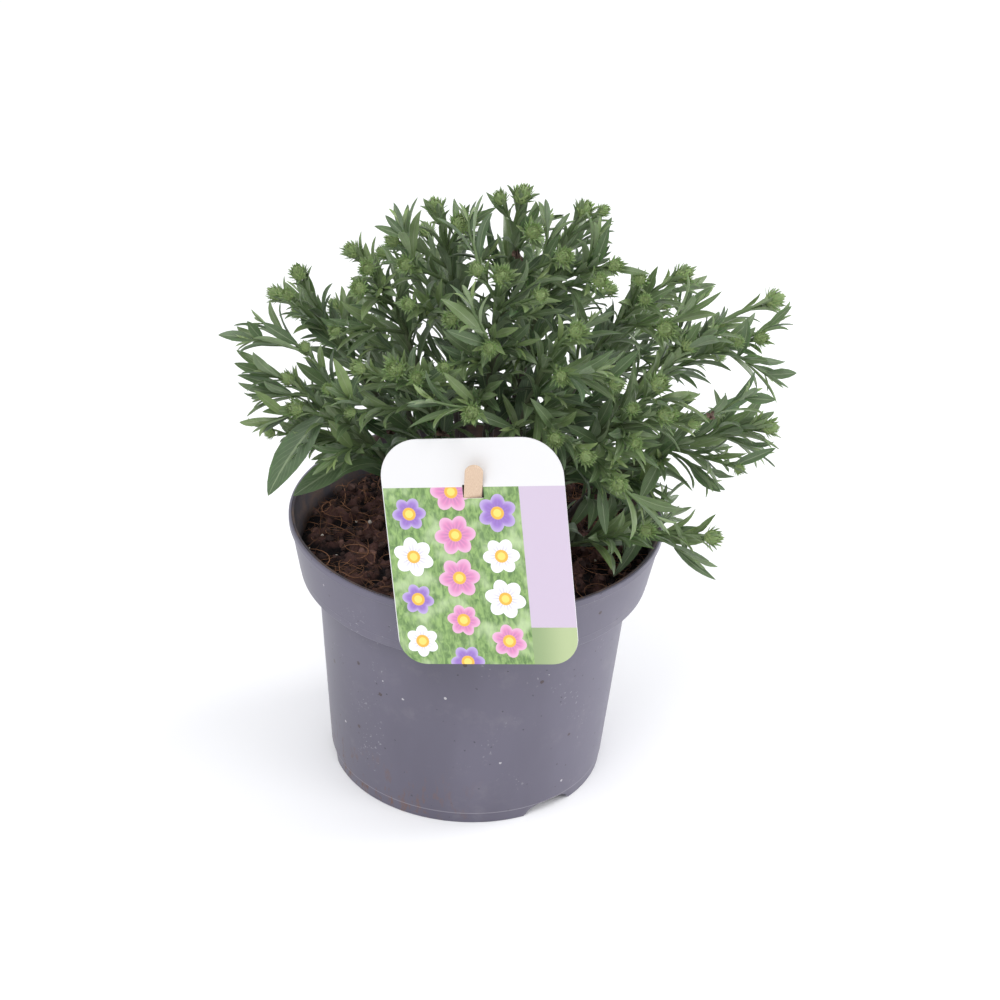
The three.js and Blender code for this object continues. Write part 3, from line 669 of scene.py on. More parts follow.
def make_soil():
    """The soil body: rings that shrink from the wall to the middle on top, over the pot's inner profile. Its
    tone is its height over the mound, from 0 in a hollow to 1 on a lump, and the soil's finish paints it as
    shade in the hollows and light on the lumps."""
    turns, rings, relief = 216, 74, 5
    below = [(PAD_RADIUS + 0.7, WALL + SOIL_GAP), (PAD_RADIUS + 3.7, FOOT_HEIGHT + WALL + SOIL_GAP),
             (BODY_FOOT_RADIUS - WALL - SOIL_GAP, FOOT_HEIGHT + WALL + SOIL_GAP),
             (BODY_TOP_RADIUS - WALL - SOIL_GAP, COLLAR_FOOT_Z + WALL + SOIL_GAP),
             (COLLAR_FOOT_RADIUS - WALL - SOIL_GAP, COLLAR_FOOT_Z + WALL + SOIL_GAP)]
    turn = np.arange(turns) * 2 * np.pi / turns
    radius = np.concatenate([[r for r, _ in below], SOIL_RADIUS * np.linspace(1, 0.012, rings)])
    x, y = radius[:, None] * np.cos(turn), radius[:, None] * np.sin(turn)
    z = soil_height(x, y)
    z[:len(below)] = np.array([height for _, height in below])[:, None]
    middles = np.array([[0, 0, WALL + SOIL_GAP], [0, 0, soil_height(np.zeros(1), np.zeros(1))[0]]])
    rows = len(radius)
    # The height over the mound, which the finish turns into painted shade in hollows and painted light on
    # lumps.
    over_mound = z - SOIL_EDGE_Z - SOIL_MOUND * (1 - (radius[:, None] / SOIL_RADIUS) ** 2)
    tone = np.append(over_mound.ravel() / relief + 0.5, [0, 0.5])
    skin = Skin()
    skin.add(np.concatenate([np.stack([x, y, z], -1).reshape(-1, 3), middles]),
             [row_quads(rows, turns), *end_fans(rows, turns)], tone=np.clip(tone, 0, 1))
    make_piece("soil_bed", skin, [potting_soil()], ["soil"], 80)


def scattered(rng, count, inner=0.0, outer=1.0):
    """Random points on the soil between two shares of its radius."""
    share = np.sqrt(rng.uniform(inner**2, outer**2, count))
    turn = rng.uniform(0, 2 * np.pi, count)
    x, y = SOIL_RADIUS * share * np.cos(turn), SOIL_RADIUS * share * np.sin(turn)
    return np.stack([x, y, soil_height(x, y)], -1)


def lumps(rng, middles, size, rough):
    """Balls of four rings of six points, each point moved out by 1 +- rough and the ball squashed."""
    n = len(middles)
    polar = np.radians([30.0, 68.0, 112.0, 150.0])
    turn = np.arange(6) * np.pi / 3
    ring = np.stack([np.outer(np.sin(polar), np.cos(turn)), np.outer(np.sin(polar), np.sin(turn)),
                     np.outer(-np.cos(polar), np.ones(6))], -1).reshape(-1, 3)
    ball = np.concatenate([ring, [[0, 0, -1.0], [0, 0, 1.0]]])
    squash = rng.uniform(0.6, 1.0, (n, 1, 3))
    points = ball * rng.uniform(1 - rough, 1 + rough, (n, len(ball), 1)) * squash * size[:, None, None]
    spin = rng.uniform(0, 360, (n, 2))
    turns = np.stack([turn_z(a) @ turn_x(b) for a, b in spin])
    return np.einsum("nij,nkj->nki", turns, points) + middles[:, None], [row_quads(4, 6), *end_fans(4, 6)]


def lay_lumps(name, rng, size, shares, lift, rough, finish, tones, crease):
    """Lumps of the given sizes, strewn between two shares of the soil's radius and lifted by lift * size.
    Their tones are random from low to high, to a power."""
    middles = scattered(rng, len(size), *shares)
    middles[:, 2] += size * lift
    points, faces = lumps(rng, middles, size, rough)
    low, high, power = tones
    skin = Skin()
    skin.add_copies(points, faces, tone=rng.uniform(low, high, len(size)) ** power)
    make_piece(name, skin, [finish], crease=crease)


def make_crumbs():
    rng = np.random.default_rng(11)
    crumb = soil_bits("soil_crumb", (0.016, 0.012, 0.013), (0.17, 0.092, 0.075))
    size = rng.uniform(0.35, 1.0, CRUMBS) ** 2.5 * 2.7
    lay_lumps("soil_crumbs", rng, size, (0, 0.985), 0.25, 0.3, crumb, (0, 1, 3), 30)
    grit = soil_bits("pale_grit", (0.3, 0.25, 0.2), (0.7, 0.66, 0.6))
    size = rng.uniform(0.5, 1.1, GRITS)
    lay_lumps("soil_grit", rng, size, (0.1, 0.95), 0.6, 0.05, grit, (0.4, 1, 1), 60)


def make_fibres():
    """Coir fibres: arcs that turn steadily in a slanted plane. A fibre's middle lies on the soil."""
    rng = np.random.default_rng(17)
    n, m = FIBRES, 9
    middles = scattered(rng, n, 0, 0.97)
    length = rng.uniform(6, 26, n)
    bend = rng.uniform(-4.0, 4.0, n)
    heading = rng.uniform(0, 2 * np.pi, n)
    tilt = rng.normal(0, 0.16, n)
    s = np.linspace(-0.5, 0.5, m)
    angle = heading[:, None] + bend[:, None] * s
    step = np.stack([np.cos(angle), np.sin(angle), np.sin(tilt)[:, None] + 0 * angle], -1)
    step *= (length / (m - 1))[:, None, None]
    paths = np.cumsum(step, 1)
    paths += (middles - paths[:, m // 2])[:, None]
    ground = soil_height(paths[..., 0], paths[..., 1])
    lift = rng.uniform(0.0, 1.8, n)[:, None]
    paths[..., 2] = np.clip(paths[..., 2] + lift, ground - 0.3, ground + 5.5)
    share = np.hypot(paths[..., 0], paths[..., 1]) / (SOIL_RADIUS - 1)
    paths[..., :2] /= np.maximum(share, 1)[..., None]
    middle_radius = rng.uniform(0.08, 1.0, n)[:, None] ** 2 * 0.16 + 0.1
    radius = middle_radius * (1 - 0.6 * (2 * s) ** 2)
    points, faces, uv = rods(paths, radius, 4, UP)
    skin = Skin()
    skin.add_copies(points, faces, uv=uv, tone=rng.uniform(0, 1, n) ** 2)
    make_piece("soil_fibres", skin, [soil_bits("coir_fibre", (0.035, 0.019, 0.016), (0.36, 0.18, 0.1))])


# The label

CARD_WIDTH, CARD_HEIGHT, CARD_THICKNESS, CARD_ABOVE_LIP = 78.0, 100.0, 0.6, 80.0
CARD_TOP_CORNER, CARD_FOOT_CORNER = 17.0, 12.0
CARD_SIDEWAYS, CARD_YAW, CARD_LEAN, CARD_ROLL = 26.0, -13.0, 10.2, 10.4
SLOT_WIDTH, SLOT_HEIGHT, SLOT_BELOW_TOP = 9.0, 6.0, 23.0
STAKE_WIDTH, STAKE_THICKNESS, STAKE_LENGTH, STAKE_TIP, STAKE_LEAN = 7.6, 1.2, 130.0, 15.0, 16.0
FACE_RADIUS = LIP_RADIUS + SOIL_GAP + CARD_THICKNESS
CARD_TURN = turn_z(CARD_YAW) @ turn_x(-CARD_LEAN) @ turn_y(-CARD_ROLL)
CARD_PLACE = (turn_z(CARD_YAW) @ np.array([CARD_SIDEWAYS, -FACE_RADIUS, 0])) + POT_HEIGHT * UP


def on_card(points):
    """Card points, with x across it, y out of its back and z up it, in their place on the pot."""
    return points @ CARD_TURN.T + CARD_PLACE


def rounded_box(left, right, foot, top, corner_foot, corner_top, steps):
    """A counter-clockwise outline from the middle of the right side, with steps points to each corner."""
    corners = [(right, top, (-1, -1), corner_top), (left, top, (1, -1), corner_top),
               (left, foot, (1, 1), corner_foot), (right, foot, (-1, 1), corner_foot)]
    made = []
    for k, (x, z, side, corner) in enumerate(corners):
        a = np.radians(90 * k + np.linspace(0, 90, steps))
        made.append(np.stack([x + side[0] * corner + corner * np.cos(a),
                              z + side[1] * corner + corner * np.sin(a)], -1))
    return np.concatenate(made)


def make_card():
    """The card: rings that widen from its slot to its outline, front and back, joined round both edges."""
    steps, rings, slot_corner = 14, 9, 0.6
    foot = CARD_ABOVE_LIP - CARD_HEIGHT
    slot_middle = CARD_ABOVE_LIP - SLOT_BELOW_TOP
    outline = rounded_box(-CARD_WIDTH / 2, CARD_WIDTH / 2, foot, CARD_ABOVE_LIP,
                          CARD_FOOT_CORNER, CARD_TOP_CORNER, steps)
    slot = rounded_box(-SLOT_WIDTH / 2, SLOT_WIDTH / 2, slot_middle - SLOT_HEIGHT / 2,
                       slot_middle + SLOT_HEIGHT / 2, slot_corner, slot_corner, steps)
    share = np.linspace(0, 1, rings)[:, None, None]
    flat = slot + (outline - slot) * share
    ring = len(slot)
    front = np.stack([flat[..., 0], np.full(flat.shape[:2], -CARD_THICKNESS), flat[..., 1]], -1)
    back = np.stack([flat[..., 0], np.zeros(flat.shape[:2]), flat[..., 1]], -1)
    local = np.concatenate([front.reshape(-1, 3), back.reshape(-1, 3)])
    grid = row_quads(rings, ring)
    j = np.arange(ring)
    k = (j + 1) % ring
    size, rim = rings * ring, (rings - 1) * ring
    outer = np.stack([rim + j, rim + k, size + rim + k, size + rim + j], -1)
    inner = np.stack([j, size + j, size + k, k], -1)
    skin = Skin()
    skin.add(on_card(local), [grid[:, ::-1], grid + size, outer, inner], [0, 1, 1, 1],
             uv=local[:, [0, 2]] / DECIMETRE)
    make_piece("label_card_print", skin, [card_print(), card_back()], ["label_card"], 40)


def make_stake():
    """The stake: box sections with cut corners, carried up and narrowed to the round tip."""
    tip_radius = STAKE_WIDTH / 2
    foot = STAKE_TIP - STAKE_LENGTH
    z = np.concatenate([[foot, foot + 0.3], np.linspace(foot + 6, STAKE_TIP - tip_radius, 24),
                        STAKE_TIP - tip_radius + tip_radius * np.sin(np.radians([18, 36, 52, 66, 78, 86]))])
    above = np.clip((z - (STAKE_TIP - tip_radius)) / tip_radius, 0, 1)
    half = tip_radius * np.sqrt(1 - above**2)
    half[0] -= 0.3
    depth = np.full(len(z), STAKE_THICKNESS / 2)
    depth[0] -= 0.2
    cut = 0.25
    corners = np.array([[1, 1 - cut * 2], [1, -1 + cut * 2], [1 - cut / 3, -1], [-1 + cut / 3, -1],
                        [-1, -1 + cut * 2], [-1, 1 - cut * 2], [-1 + cut / 3, 1], [1 - cut / 3, 1]])[::-1]
    x = half[:, None] * corners[:, 0]
    y = depth[:, None] * corners[:, 1]
    local = np.stack([x, y, np.broadcast_to(z[:, None], x.shape)], -1).reshape(-1, 3)
    ends = np.array([[0, 0, foot], [0, 0, STAKE_TIP]])
    slot_middle = on_card(np.array([0, -CARD_THICKNESS / 2, CARD_ABOVE_LIP - SLOT_BELOW_TOP]))
    local = np.concatenate([local, ends])
    rows = len(z)
    skin = Skin()
    skin.add(local @ turn_x(STAKE_LEAN).T + slot_middle, [row_quads(rows, 8), *end_fans(rows, 8)],
             uv=local[:, [0, 2]] / CENTIMETRE)
    make_piece("label_stick", skin, [stake_wood()], ["label_stake"], 30)


# The plant

STEM_ROOT_Z, PLANT_TOP = 100.0, 282.0
BUD_MIDDLE = 0.45
STEM_FOOT_RADIUS, STEM_TIP_RADIUS = 1.7, 0.9
BRANCH_FOOT_RADIUS, BRANCH_TIP_RADIUS = 0.95, 0.65
SPRIG_FOOT_RADIUS, SPRIG_TIP_RADIUS = 0.8, 0.5
CROWN_SHARE = 0.2
SPIRAL_FIRST, SPIRAL_LAST, SPIRAL_COUNT, SHOOT_TURN = 0.34, 0.83, 15, 70.0
SPRIGS_BEFORE, SPRIGS_BEHIND, BEHIND_Y = 6, 10, 20.0
LEAF_LONG, LEAF_SHORT, LEAF_SLENDER = 44.0, 17.0, 0.21
LEAF_THICK, LEAF_RIB, LEAF_GROOVE, SLIM_HALF, CLASP = 0.34, 0.22, 0.12, 0.7, 0.3
CROWDING, LOOSENING, LOOSE_FROM_Z = 4.0, 0.03, 225.0
CLOSE_CROWDING, RULED_OUT = 9, 100

# How full the room is made by each point of the card, of the pot's collar and of a bud. The card's points are
# low, high and count along its x, y and z, and the collar's are rings of radius and height.
CARD_CROWD, COLLAR_CROWD, BUD_CROWD = 8, 6, 4
CARD_SPANS = ((-38, 38, 12), (-4, 4, 2), (-18, 78, 14))
COLLAR_RINGS = ((84, 126), (80, 108), (84, 121))

# Each shoot's flower heads as (right, back, up, width). The first stands on the main stem, the others on side
# branches.
SHOOTS = [
    [(-92, 14, 225, 9), (-85, -5, 234, 7), (-81, 2, 241, 9)],
    [(-78, -44, 200, 9), (-82, -37, 210, 8), (-90, -32, 181, 6), (-64, -52, 214, 6), (-75, -34, 224, 6)],
    [(-57, -12, 259, 9), (-50, -24, 257, 8), (-53, -33, 252, 8), (-62, -41, 236, 6)],
    [(-36, -60, 229, 10), (-27, -63, 227, 7), (-51, -55, 226, 8), (-54, -58, 207, 6)],
    [(-23, -3, 277, 9), (-12, -17, 276, 11), (-40, -17, 267, 8), (-34, -31, 263, 8), (-32, -46, 252, 7)],
    [(13, -1, 283, 11), (4, -3, 282, 8), (18, -24, 277, 9), (31, -34, 271, 9)],
    [(6, -43, 265, 10), (-4, -40, 266, 8), (22, -49, 260, 7), (2, -63, 242, 7), (-4, -70, 216, 9),
     (-14, -54, 250, 8), (-16, -64, 233, 6)],
    [(39, -7, 280, 10), (47, -6, 280, 7), (52, -34, 268, 8), (46, -41, 264, 8)],
    [(37, -58, 249, 9), (32, -66, 232, 8), (54, -66, 230, 8), (31, -66, 203, 8), (44, -74, 200, 8)],
    [(81, -25, 261, 10), (63, -35, 263, 7), (74, -48, 247, 10), (65, -42, 257, 6)],
    [(125, 15, 233, 11), (117, -20, 231, 8), (106, -32, 235, 6)],
    [(76, -64, 216, 10), (72, -61, 228, 10), (84, -48, 240, 9), (88, -60, 210, 7), (58, -75, 188, 8),
     (62, -68, 220, 6), (64, -72, 206, 6)],
    [(123, -34, 196, 9), (110, -50, 184, 6)],
    [(102, -47, 148, 10), (72, -69, 163, 8)],
    [(-68, 48, 204, 9), (-84, 36, 206, 8), (-52, 60, 222, 8), (-60, 76, 192, 8)],
    [(-28, 42, 246, 9), (-12, 58, 234, 8), (-46, 30, 240, 8), (-25, 86, 200, 8)],
    [(34, 42, 244, 10), (22, 66, 232, 8), (56, 58, 214, 8), (25, 90, 196, 8)],
    [(80, 42, 216, 9), (96, 56, 196, 8), (106, 36, 194, 8), (74, 78, 186, 8)],
]

# The plant's outline in the picture, in pixels. Leaves that would cross it are left off.
OUTLINE = [
    (214, 332), (246, 316), (256, 282), (292, 262), (328, 258), (340, 238), (366, 222), (384, 204),
    (420, 192), (446, 196), (462, 202), (484, 188), (508, 182), (534, 184), (552, 206), (564, 216),
    (574, 196), (598, 196), (616, 216), (616, 254), (650, 264), (696, 262), (722, 286), (734, 318),
    (752, 312), (760, 290), (790, 292), (798, 322), (784, 350), (800, 374), (780, 404), (784, 436),
    (776, 468), (728, 480), (726, 498), (700, 504), (728, 536), (720, 580), (676, 552), (640, 560),
    (610, 580), (596, 545), (560, 540), (400, 520), (396, 470), (350, 476), (294, 500), (264, 500),
    (278, 446), (236, 430), (244, 396), (228, 366), (236, 350),
]

# The plant's middle in the picture, and the length there of a leafy twig without a bud.
PLANT_MIDDLE, TWIG_PIXELS = np.array([500.0, 420.0]), 40

# Such twigs, by the pixel of their end and how far that stands nearer to the viewer than the stem that they
# grow from.
TWIGS = [
    ((250, 340), 0), ((262, 322), -6), ((262, 372), 4), ((264, 398), 6), ((266, 424), 8), ((310, 440), 12),
    ((340, 452), 10), ((402, 224), 0), ((440, 222), 4), ((468, 218), 2), ((548, 226), 0), ((598, 236), 4),
    ((664, 284), 0), ((700, 300), 4), ((712, 332), 4), ((742, 340), 0), ((776, 322), 0), ((768, 376), 4),
    ((746, 396), 8), ((752, 424), 4), ((754, 450), 4), ((708, 480), 8), ((640, 502), 14), ((602, 486), 14),
    ((626, 540), 10), ((660, 520), 8), ((330, 330), 8), ((380, 300), 8), ((470, 300), 10),
    ((560, 300), 8), ((620, 320), 8), ((350, 400), 12), ((430, 400), 12), ((500, 400), 12), ((560, 410), 12),
    ((600, 370), 12), ((680, 400), 10),
]

# Leaves that stand out in the picture: the pixels of their base and tip, how far their tip stands nearer to
# the viewer than their base, their width, and how young they are, from 0 to 1.
STANDING_OUT = [
    ((320, 418), (268, 496), 14, 13.0, 0.05), ((362, 452), (293, 496), 12, 11.5, 0.1),
    ((248, 348), (218, 335), 0, 5.0, 0.1), ((262, 352), (247, 321), 2, 4.5, 0.1),
    ((770, 376), (797, 373), 2, 5.0, 0.1), ((674, 548), (716, 580), 4, 4.0, 0.1),
    ((268, 378), (234, 363), 4, 4.5, 0.2), ((275, 385), (243, 367), 0, 3.0, 0.2),
    ((290, 395), (237, 375), 5, 5.0, 0.1), ((285, 408), (254, 390), 8, 4.5, 0.6),
    ((300, 415), (262, 412), 8, 4.5, 0.3), ((300, 340), (262, 322), 4, 5.0, 0.1),
    ((320, 300), (296, 262), 2, 3.5, 0.3), ((345, 345), (300, 318), 8, 5.5, 0.1),
    ((330, 385), (296, 362), 10, 5.5, 0.2), ((345, 395), (333, 358), 9, 5.0, 0.7),
    ((352, 448), (328, 420), 6, 6.0, 0.5), ((410, 235), (374, 226), 3, 3.5, 0.2),
    ((410, 232), (385, 215), 2, 3.5, 0.1), ((412, 230), (394, 204), 0, 3.5, 0.2),
    ((416, 232), (408, 204), 2, 3.0, 0.2), ((425, 228), (423, 198), 0, 3.5, 0.3),
    ((450, 228), (454, 198), 2, 3.0, 0.2), ((462, 232), (470, 204), 4, 3.0, 0.3),
    ((497, 222), (486, 192), 0, 3.0, 0.2), ((527, 232), (541, 204), 0, 3.5, 0.2),
    ((530, 240), (548, 210), 3, 3.5, 0.2), ((545, 268), (559, 235), 3, 4.0, 0.1),
    ((590, 252), (612, 217), 0, 4.0, 0.2), ((593, 264), (609, 226), 5, 4.5, 0.1),
    ((612, 283), (650, 274), 6, 3.5, 0.3), ((645, 300), (658, 266), 3, 3.5, 0.3),
    ((690, 312), (713, 287), 0, 3.5, 0.2), ((690, 320), (722, 291), 3, 3.0, 0.3),
    ((680, 345), (702, 321), 5, 4.0, 0.2), ((700, 348), (728, 327), 0, 4.0, 0.1),
    ((740, 352), (747, 318), 0, 4.5, 0.1), ((772, 330), (792, 306), 0, 3.5, 0.2),
    ((735, 372), (768, 361), 6, 4.5, 0.2), ((742, 385), (776, 400), 5, 5.5, 0.1),
    ((715, 427), (750, 411), 4, 4.0, 0.3), ((725, 432), (762, 418), 2, 4.0, 0.2),
    ((735, 462), (776, 448), 0, 4.5, 0.1), ((680, 478), (721, 492), 6, 5.5, 0.1),
    ((590, 490), (568, 530), 8, 5.5, 0.2), ((602, 495), (606, 535), 8, 5.0, 0.1),
    ((640, 520), (613, 577), 8, 6.0, 0.1), ((668, 470), (640, 500), 8, 6.0, 0.2),
    ((700, 528), (716, 514), 2, 2.6, 0.4), ((690, 545), (671, 518), 4, 3.0, 0.3),
    ((360, 350), (392, 336), 8, 5.5, 0.6), ((500, 442), (526, 418), 8, 5.0, 0.6),
    ((640, 482), (657, 448), 8, 5.0, 0.6), ((470, 400), (443, 372), 8, 4.5, 0.5),
    ((500, 425), (462, 408), 10, 5.0, 0.1), ((410, 425), (372, 402), 10, 6.0, 0.1),
    ((390, 440), (352, 412), 6, 6.5, 0.0), ((440, 430), (412, 400), 9, 5.5, 0.1),
    ((560, 430), (530, 398), 9, 5.0, 0.2), ((600, 440), (566, 425), 9, 5.5, 0.1),
    ((540, 330), (512, 300), 8, 4.5, 0.2), ((480, 350), (446, 330), 9, 5.0, 0.1),
    ((430, 330), (402, 296), 9, 4.5, 0.2), ((610, 380), (640, 350), 9, 5.0, 0.1),
]
# Clusters of small withered leaves, by their pixel.
WITHERED = [(519, 252), (446, 428), (392, 430), (710, 410)]


class Limb:
    """A stem, a branch or a leafy sprig of a shoot: a quadratic curve from its foot to its head."""

    def __init__(self, shoot, foot, bend, head, thick, thin, tone):
        self.shoot = shoot
        self.curve = (foot, bend, head)
        self.thick, self.thin, self.tone = thick, thin, tone
        self.length = np.linalg.norm(np.diff(self.at(np.linspace(0, 1, 20)), axis=0), axis=1).sum()

    def at(self, t):
        return bezier(*self.curve, t)

    def way(self, t):
        return bezier_way(*self.curve, t)

    def frame(self, t):
        """The limb's point, its direction, and two directions across it."""
        along = self.way(t)
        out = (self.curve[2] - self.curve[0]) * (1, 1, 0) + (1e-6, 0, 0)
        side = np.cross(UP, out)
        side = unit(side - along * (along @ side))
        return self.at(t), along, side, np.cross(along, side)


def end_under(head, bend, width):
    """Where a stem ends under its bud, whose middle is the head."""
    return head + unit(bend - head) * BUD_MIDDLE * width


def main_stem(shoot, head, width):
    """The stem rises from the crown, which holds all feet, and bends out to end under its bud."""
    foot = np.array([head[0] * CROWN_SHARE, head[1] * CROWN_SHARE, STEM_ROOT_Z])
    bend = lerp(foot, head, 0.28)
    bend[2] = lerp(STEM_ROOT_Z, head[2], 0.78)
    end = end_under(head, bend, width)
    return Limb(shoot, foot, bend, end, STEM_FOOT_RADIUS, STEM_TIP_RADIUS, (0.0, 0.9))


def side_branch(shoot, head, width):
    """A branch leaves the stem the lower, the further its own head stands from the leading one."""
    main = shoot.main
    apart = np.linalg.norm(head - shoot.leader)
    t = np.clip(1 - (1.25 * apart + 14) / main.length, 0.3, 0.92)
    foot = main.at(t)
    reach = np.linalg.norm(head - foot)
    bend = lerp(foot + main.way(t) * reach * 0.12, head, 0.4)
    end = end_under(head, bend, width)
    return Limb(shoot, foot, bend, end, BRANCH_FOOT_RADIUS, BRANCH_TIP_RADIUS, (0.6, 1.0))


def leafy_sprig(shoot, foot, bend, head):
    """A twig that carries leaves and no bud."""
    return Limb(shoot, foot, bend, head, SPRIG_FOOT_RADIUS, SPRIG_TIP_RADIUS, (0.7, 1.0))


class Shoot:
    """A main stem and all that grows on it. Its first flower head is the stem's, the others the branches'."""

    def __init__(self, heads):
        self.widths = [head[3] for head in heads]
        self.leader, *others = (np.array(head[:3], float) for head in heads)
        self.main = main_stem(self, self.leader, self.widths[0])
        self.branches = [side_branch(self, *head) for head in zip(others, self.widths[1:])]
        self.sprigs, self.leaves = [], []

    def budded(self):
        return [self.main, *self.branches]

    def limbs(self):
        return [self.main, *self.branches, *self.sprigs]

    def add_sprigs(self, rng):
        """Short leafy sprigs that leave the stem's middle at random, and stay inside the plant's outline."""
        count = SPRIGS_BEHIND if self.leader[1] > BEHIND_Y else SPRIGS_BEFORE
        for t in np.linspace(0.3, 0.8, count) + rng.uniform(-0.04, 0.04, count):
            at, along, side, over = self.main.frame(t)
            turn = rng.uniform(0, 2 * np.pi)
            out = side * math.cos(turn) + over * math.sin(turn)
            size = rng.uniform(18, 30) * (1.3 - 0.6 * t)
            head = at + size * unit(out * 0.8 + along * 0.65 + UP * 0.15)
            if in_outline(head):
                self.sprigs.append(leafy_sprig(self, at, at + size * (0.3 * out + 0.5 * along), head))


class Room:
    """How crowded the plant's space is, on a grid of small cells. Each point that is filled adds
    1 - distance / reach to the cells round it."""

    CELL, REACH, MARGIN = 2.0, 5.0, 2
    LOW, SHAPE = np.array([-170.0, -160.0, 60.0]), (175, 165, 140)

    def __init__(self):
        self.crowd = np.zeros(self.SHAPE)
        step = np.arange(-self.MARGIN, self.MARGIN + 1)
        self.offsets = np.stack(np.meshgrid(step, step, step, indexing="ij"), -1).reshape(-1, 3)
        weight = 1 - np.linalg.norm(self.offsets, axis=-1) * self.CELL / self.REACH
        self.offsets, self.weight = self.offsets[weight > 0], weight[weight > 0]

    def cells(self, points):
        cells = ((np.asarray(points) - self.LOW) / self.CELL).astype(int)
        return np.clip(cells, self.MARGIN, np.array(self.SHAPE) - self.MARGIN - 1)

    def fill(self, points, amount=1.0):
        cells = (self.cells(points)[:, None] + self.offsets).reshape(-1, 3)
        np.add.at(self.crowd, tuple(cells.T), np.tile(self.weight * amount, len(points)))

    def crowded(self, points):
        """The crowding met along some points, which counts double where it is greatest."""
        met = self.crowd[tuple(self.cells(points).T)]
        return met.mean() + met.max()


LEAF_COLUMNS = ("base", "knee", "tip", "lift", "width", "blunt", "fold", "twist", "tone")


def leaf_row(limb, t, turn, size, slender, spread, rise, droop, rng, tone):
    """A leaf at share t of a limb, turned about it. From its base its midrib goes out and along the limb to
    its knee, and on to a tip that stands spread * size out and rise * size along, lowered by droop * size."""
    at, along, side, over = limb.frame(t)
    out = side * math.cos(math.radians(turn)) + over * math.sin(math.radians(turn))
    radius = lerp(limb.thick, limb.thin, t)
    spread, rise = spread * rng.uniform(0.75, 1.2), rise * rng.uniform(0.75, 1.2)
    base = at + out * radius * 0.7
    knee = at + out * size * spread * 0.42 + along * size * (rise * 0.55 + 0.2)
    tip = at + out * size * spread + along * size * rise - UP * size * droop
    return {"base": base, "knee": knee, "tip": tip, "lift": along + 0.4 * UP, "width": size * slender,
            "blunt": rng.uniform(0.75, 1.05), "fold": rng.uniform(0.12, 0.4), "twist": rng.normal(0, 0.4),
            "tone": tone}


def limb_at(limbs, pixel):
    """The limb and its share that show nearest to a pixel, where a point further front counts as nearer."""
    shares = np.linspace(0.2, 0.97, 40)
    spots = np.stack([limb.at(shares) for limb in limbs])
    cost = np.linalg.norm(in_picture(spots) - pixel, axis=-1) + 0.15 * spots[..., 1]
    which, k = np.unravel_index(np.argmin(cost), cost.shape)
    return limbs[which], shares[k]


def in_outline(point):
    """Whether a point shows inside the plant's outline: a ray to its right crosses the outline an odd number
    of times."""
    x, y = in_picture(point)
    a = np.array(OUTLINE, float)
    b = np.roll(a, -1, axis=0)
    spans = (a[:, 1] > y) != (b[:, 1] > y)
    drop = np.where(b[:, 1] == a[:, 1], 1, b[:, 1] - a[:, 1])
    crossing = a[:, 0] + (y - a[:, 1]) * (b[:, 0] - a[:, 0]) / drop
    return (spans & (crossing > x)).sum() % 2 == 1


def under_top(pixel, depth):
    """The point that a pixel shows on the plane Y = depth, or further back if that is over PLANT_TOP."""
    point = at_pixel(*pixel, depth)
    if point[2] > PLANT_TOP:
        ray = point - CAMERA_PLACE
        point = CAMERA_PLACE + ray * (PLANT_TOP - CAMERA_PLACE[2]) / ray[2]
    return point


def twig_in_picture(limbs, end, nearer):
    """A twig that ends at a pixel. It grows from the limb that shows TWIG_PIXELS further in, towards the
    plant's middle."""
    inward = unit(PLANT_MIDDLE - end)
    limb, t = limb_at(limbs, end + TWIG_PIXELS * inward)
    at, along, _, _ = limb.frame(t)
    head = under_top(end, at[1] - nearer)
    reach = np.linalg.norm(head - at)
    return leafy_sprig(limb.shoot, at, at + 0.4 * (head - at) + 0.2 * reach * along, head)


def leaf_in_picture(limbs, base, tip, nearer, width, tone, rng):
    """A leaf whose base and tip show at given pixels, and whose upper face is turned to the viewer. Its tip
    stands nearer mm in front of its limb. Returns the limb and the leaf."""
    limb, t = limb_at(limbs, base)
    at, along, _, _ = limb.frame(t)
    end = under_top(tip, at[1] - nearer)
    way = end - at
    clasp = unit(way - along * (way @ along))
    out = unit(way - along * (way @ along) * 0.999)
    knee = at + 0.42 * way + 0.12 * np.linalg.norm(way) * (along + out)
    return limb, {"base": at + clasp * lerp(limb.thick, limb.thin, t) * 0.7, "knee": knee, "tip": end,
                  "lift": unit(CAMERA_PLACE - end) + 0.5 * UP, "width": width, "blunt": 0.8, "fold": 0.25,
                  "twist": rng.normal(0, 0.15), "tone": tone}


def add_best_leaf(room, leaves, candidates, limit):
    """Keeps the candidate that meets the least along its outer two thirds, if that is under the limit, which
    falls with height, because the plant's top is looser. A tip outside the outline rules a leaf out."""
    t = np.linspace(0.35, 1, 7)
    paths = [bezier(leaf["base"], leaf["knee"], leaf["tip"], t) for leaf in candidates]
    met = [room.crowded(path) + (0 if in_outline(path[-1]) else RULED_OUT) for path in paths]
    best = int(np.argmin(met))
    looser = max(0.0, LOOSENING * (candidates[best]["tip"][2] - LOOSE_FROM_Z))
    if met[best] < limit - looser:
        leaves.append(candidates[best])
        room.fill(paths[best][1:])


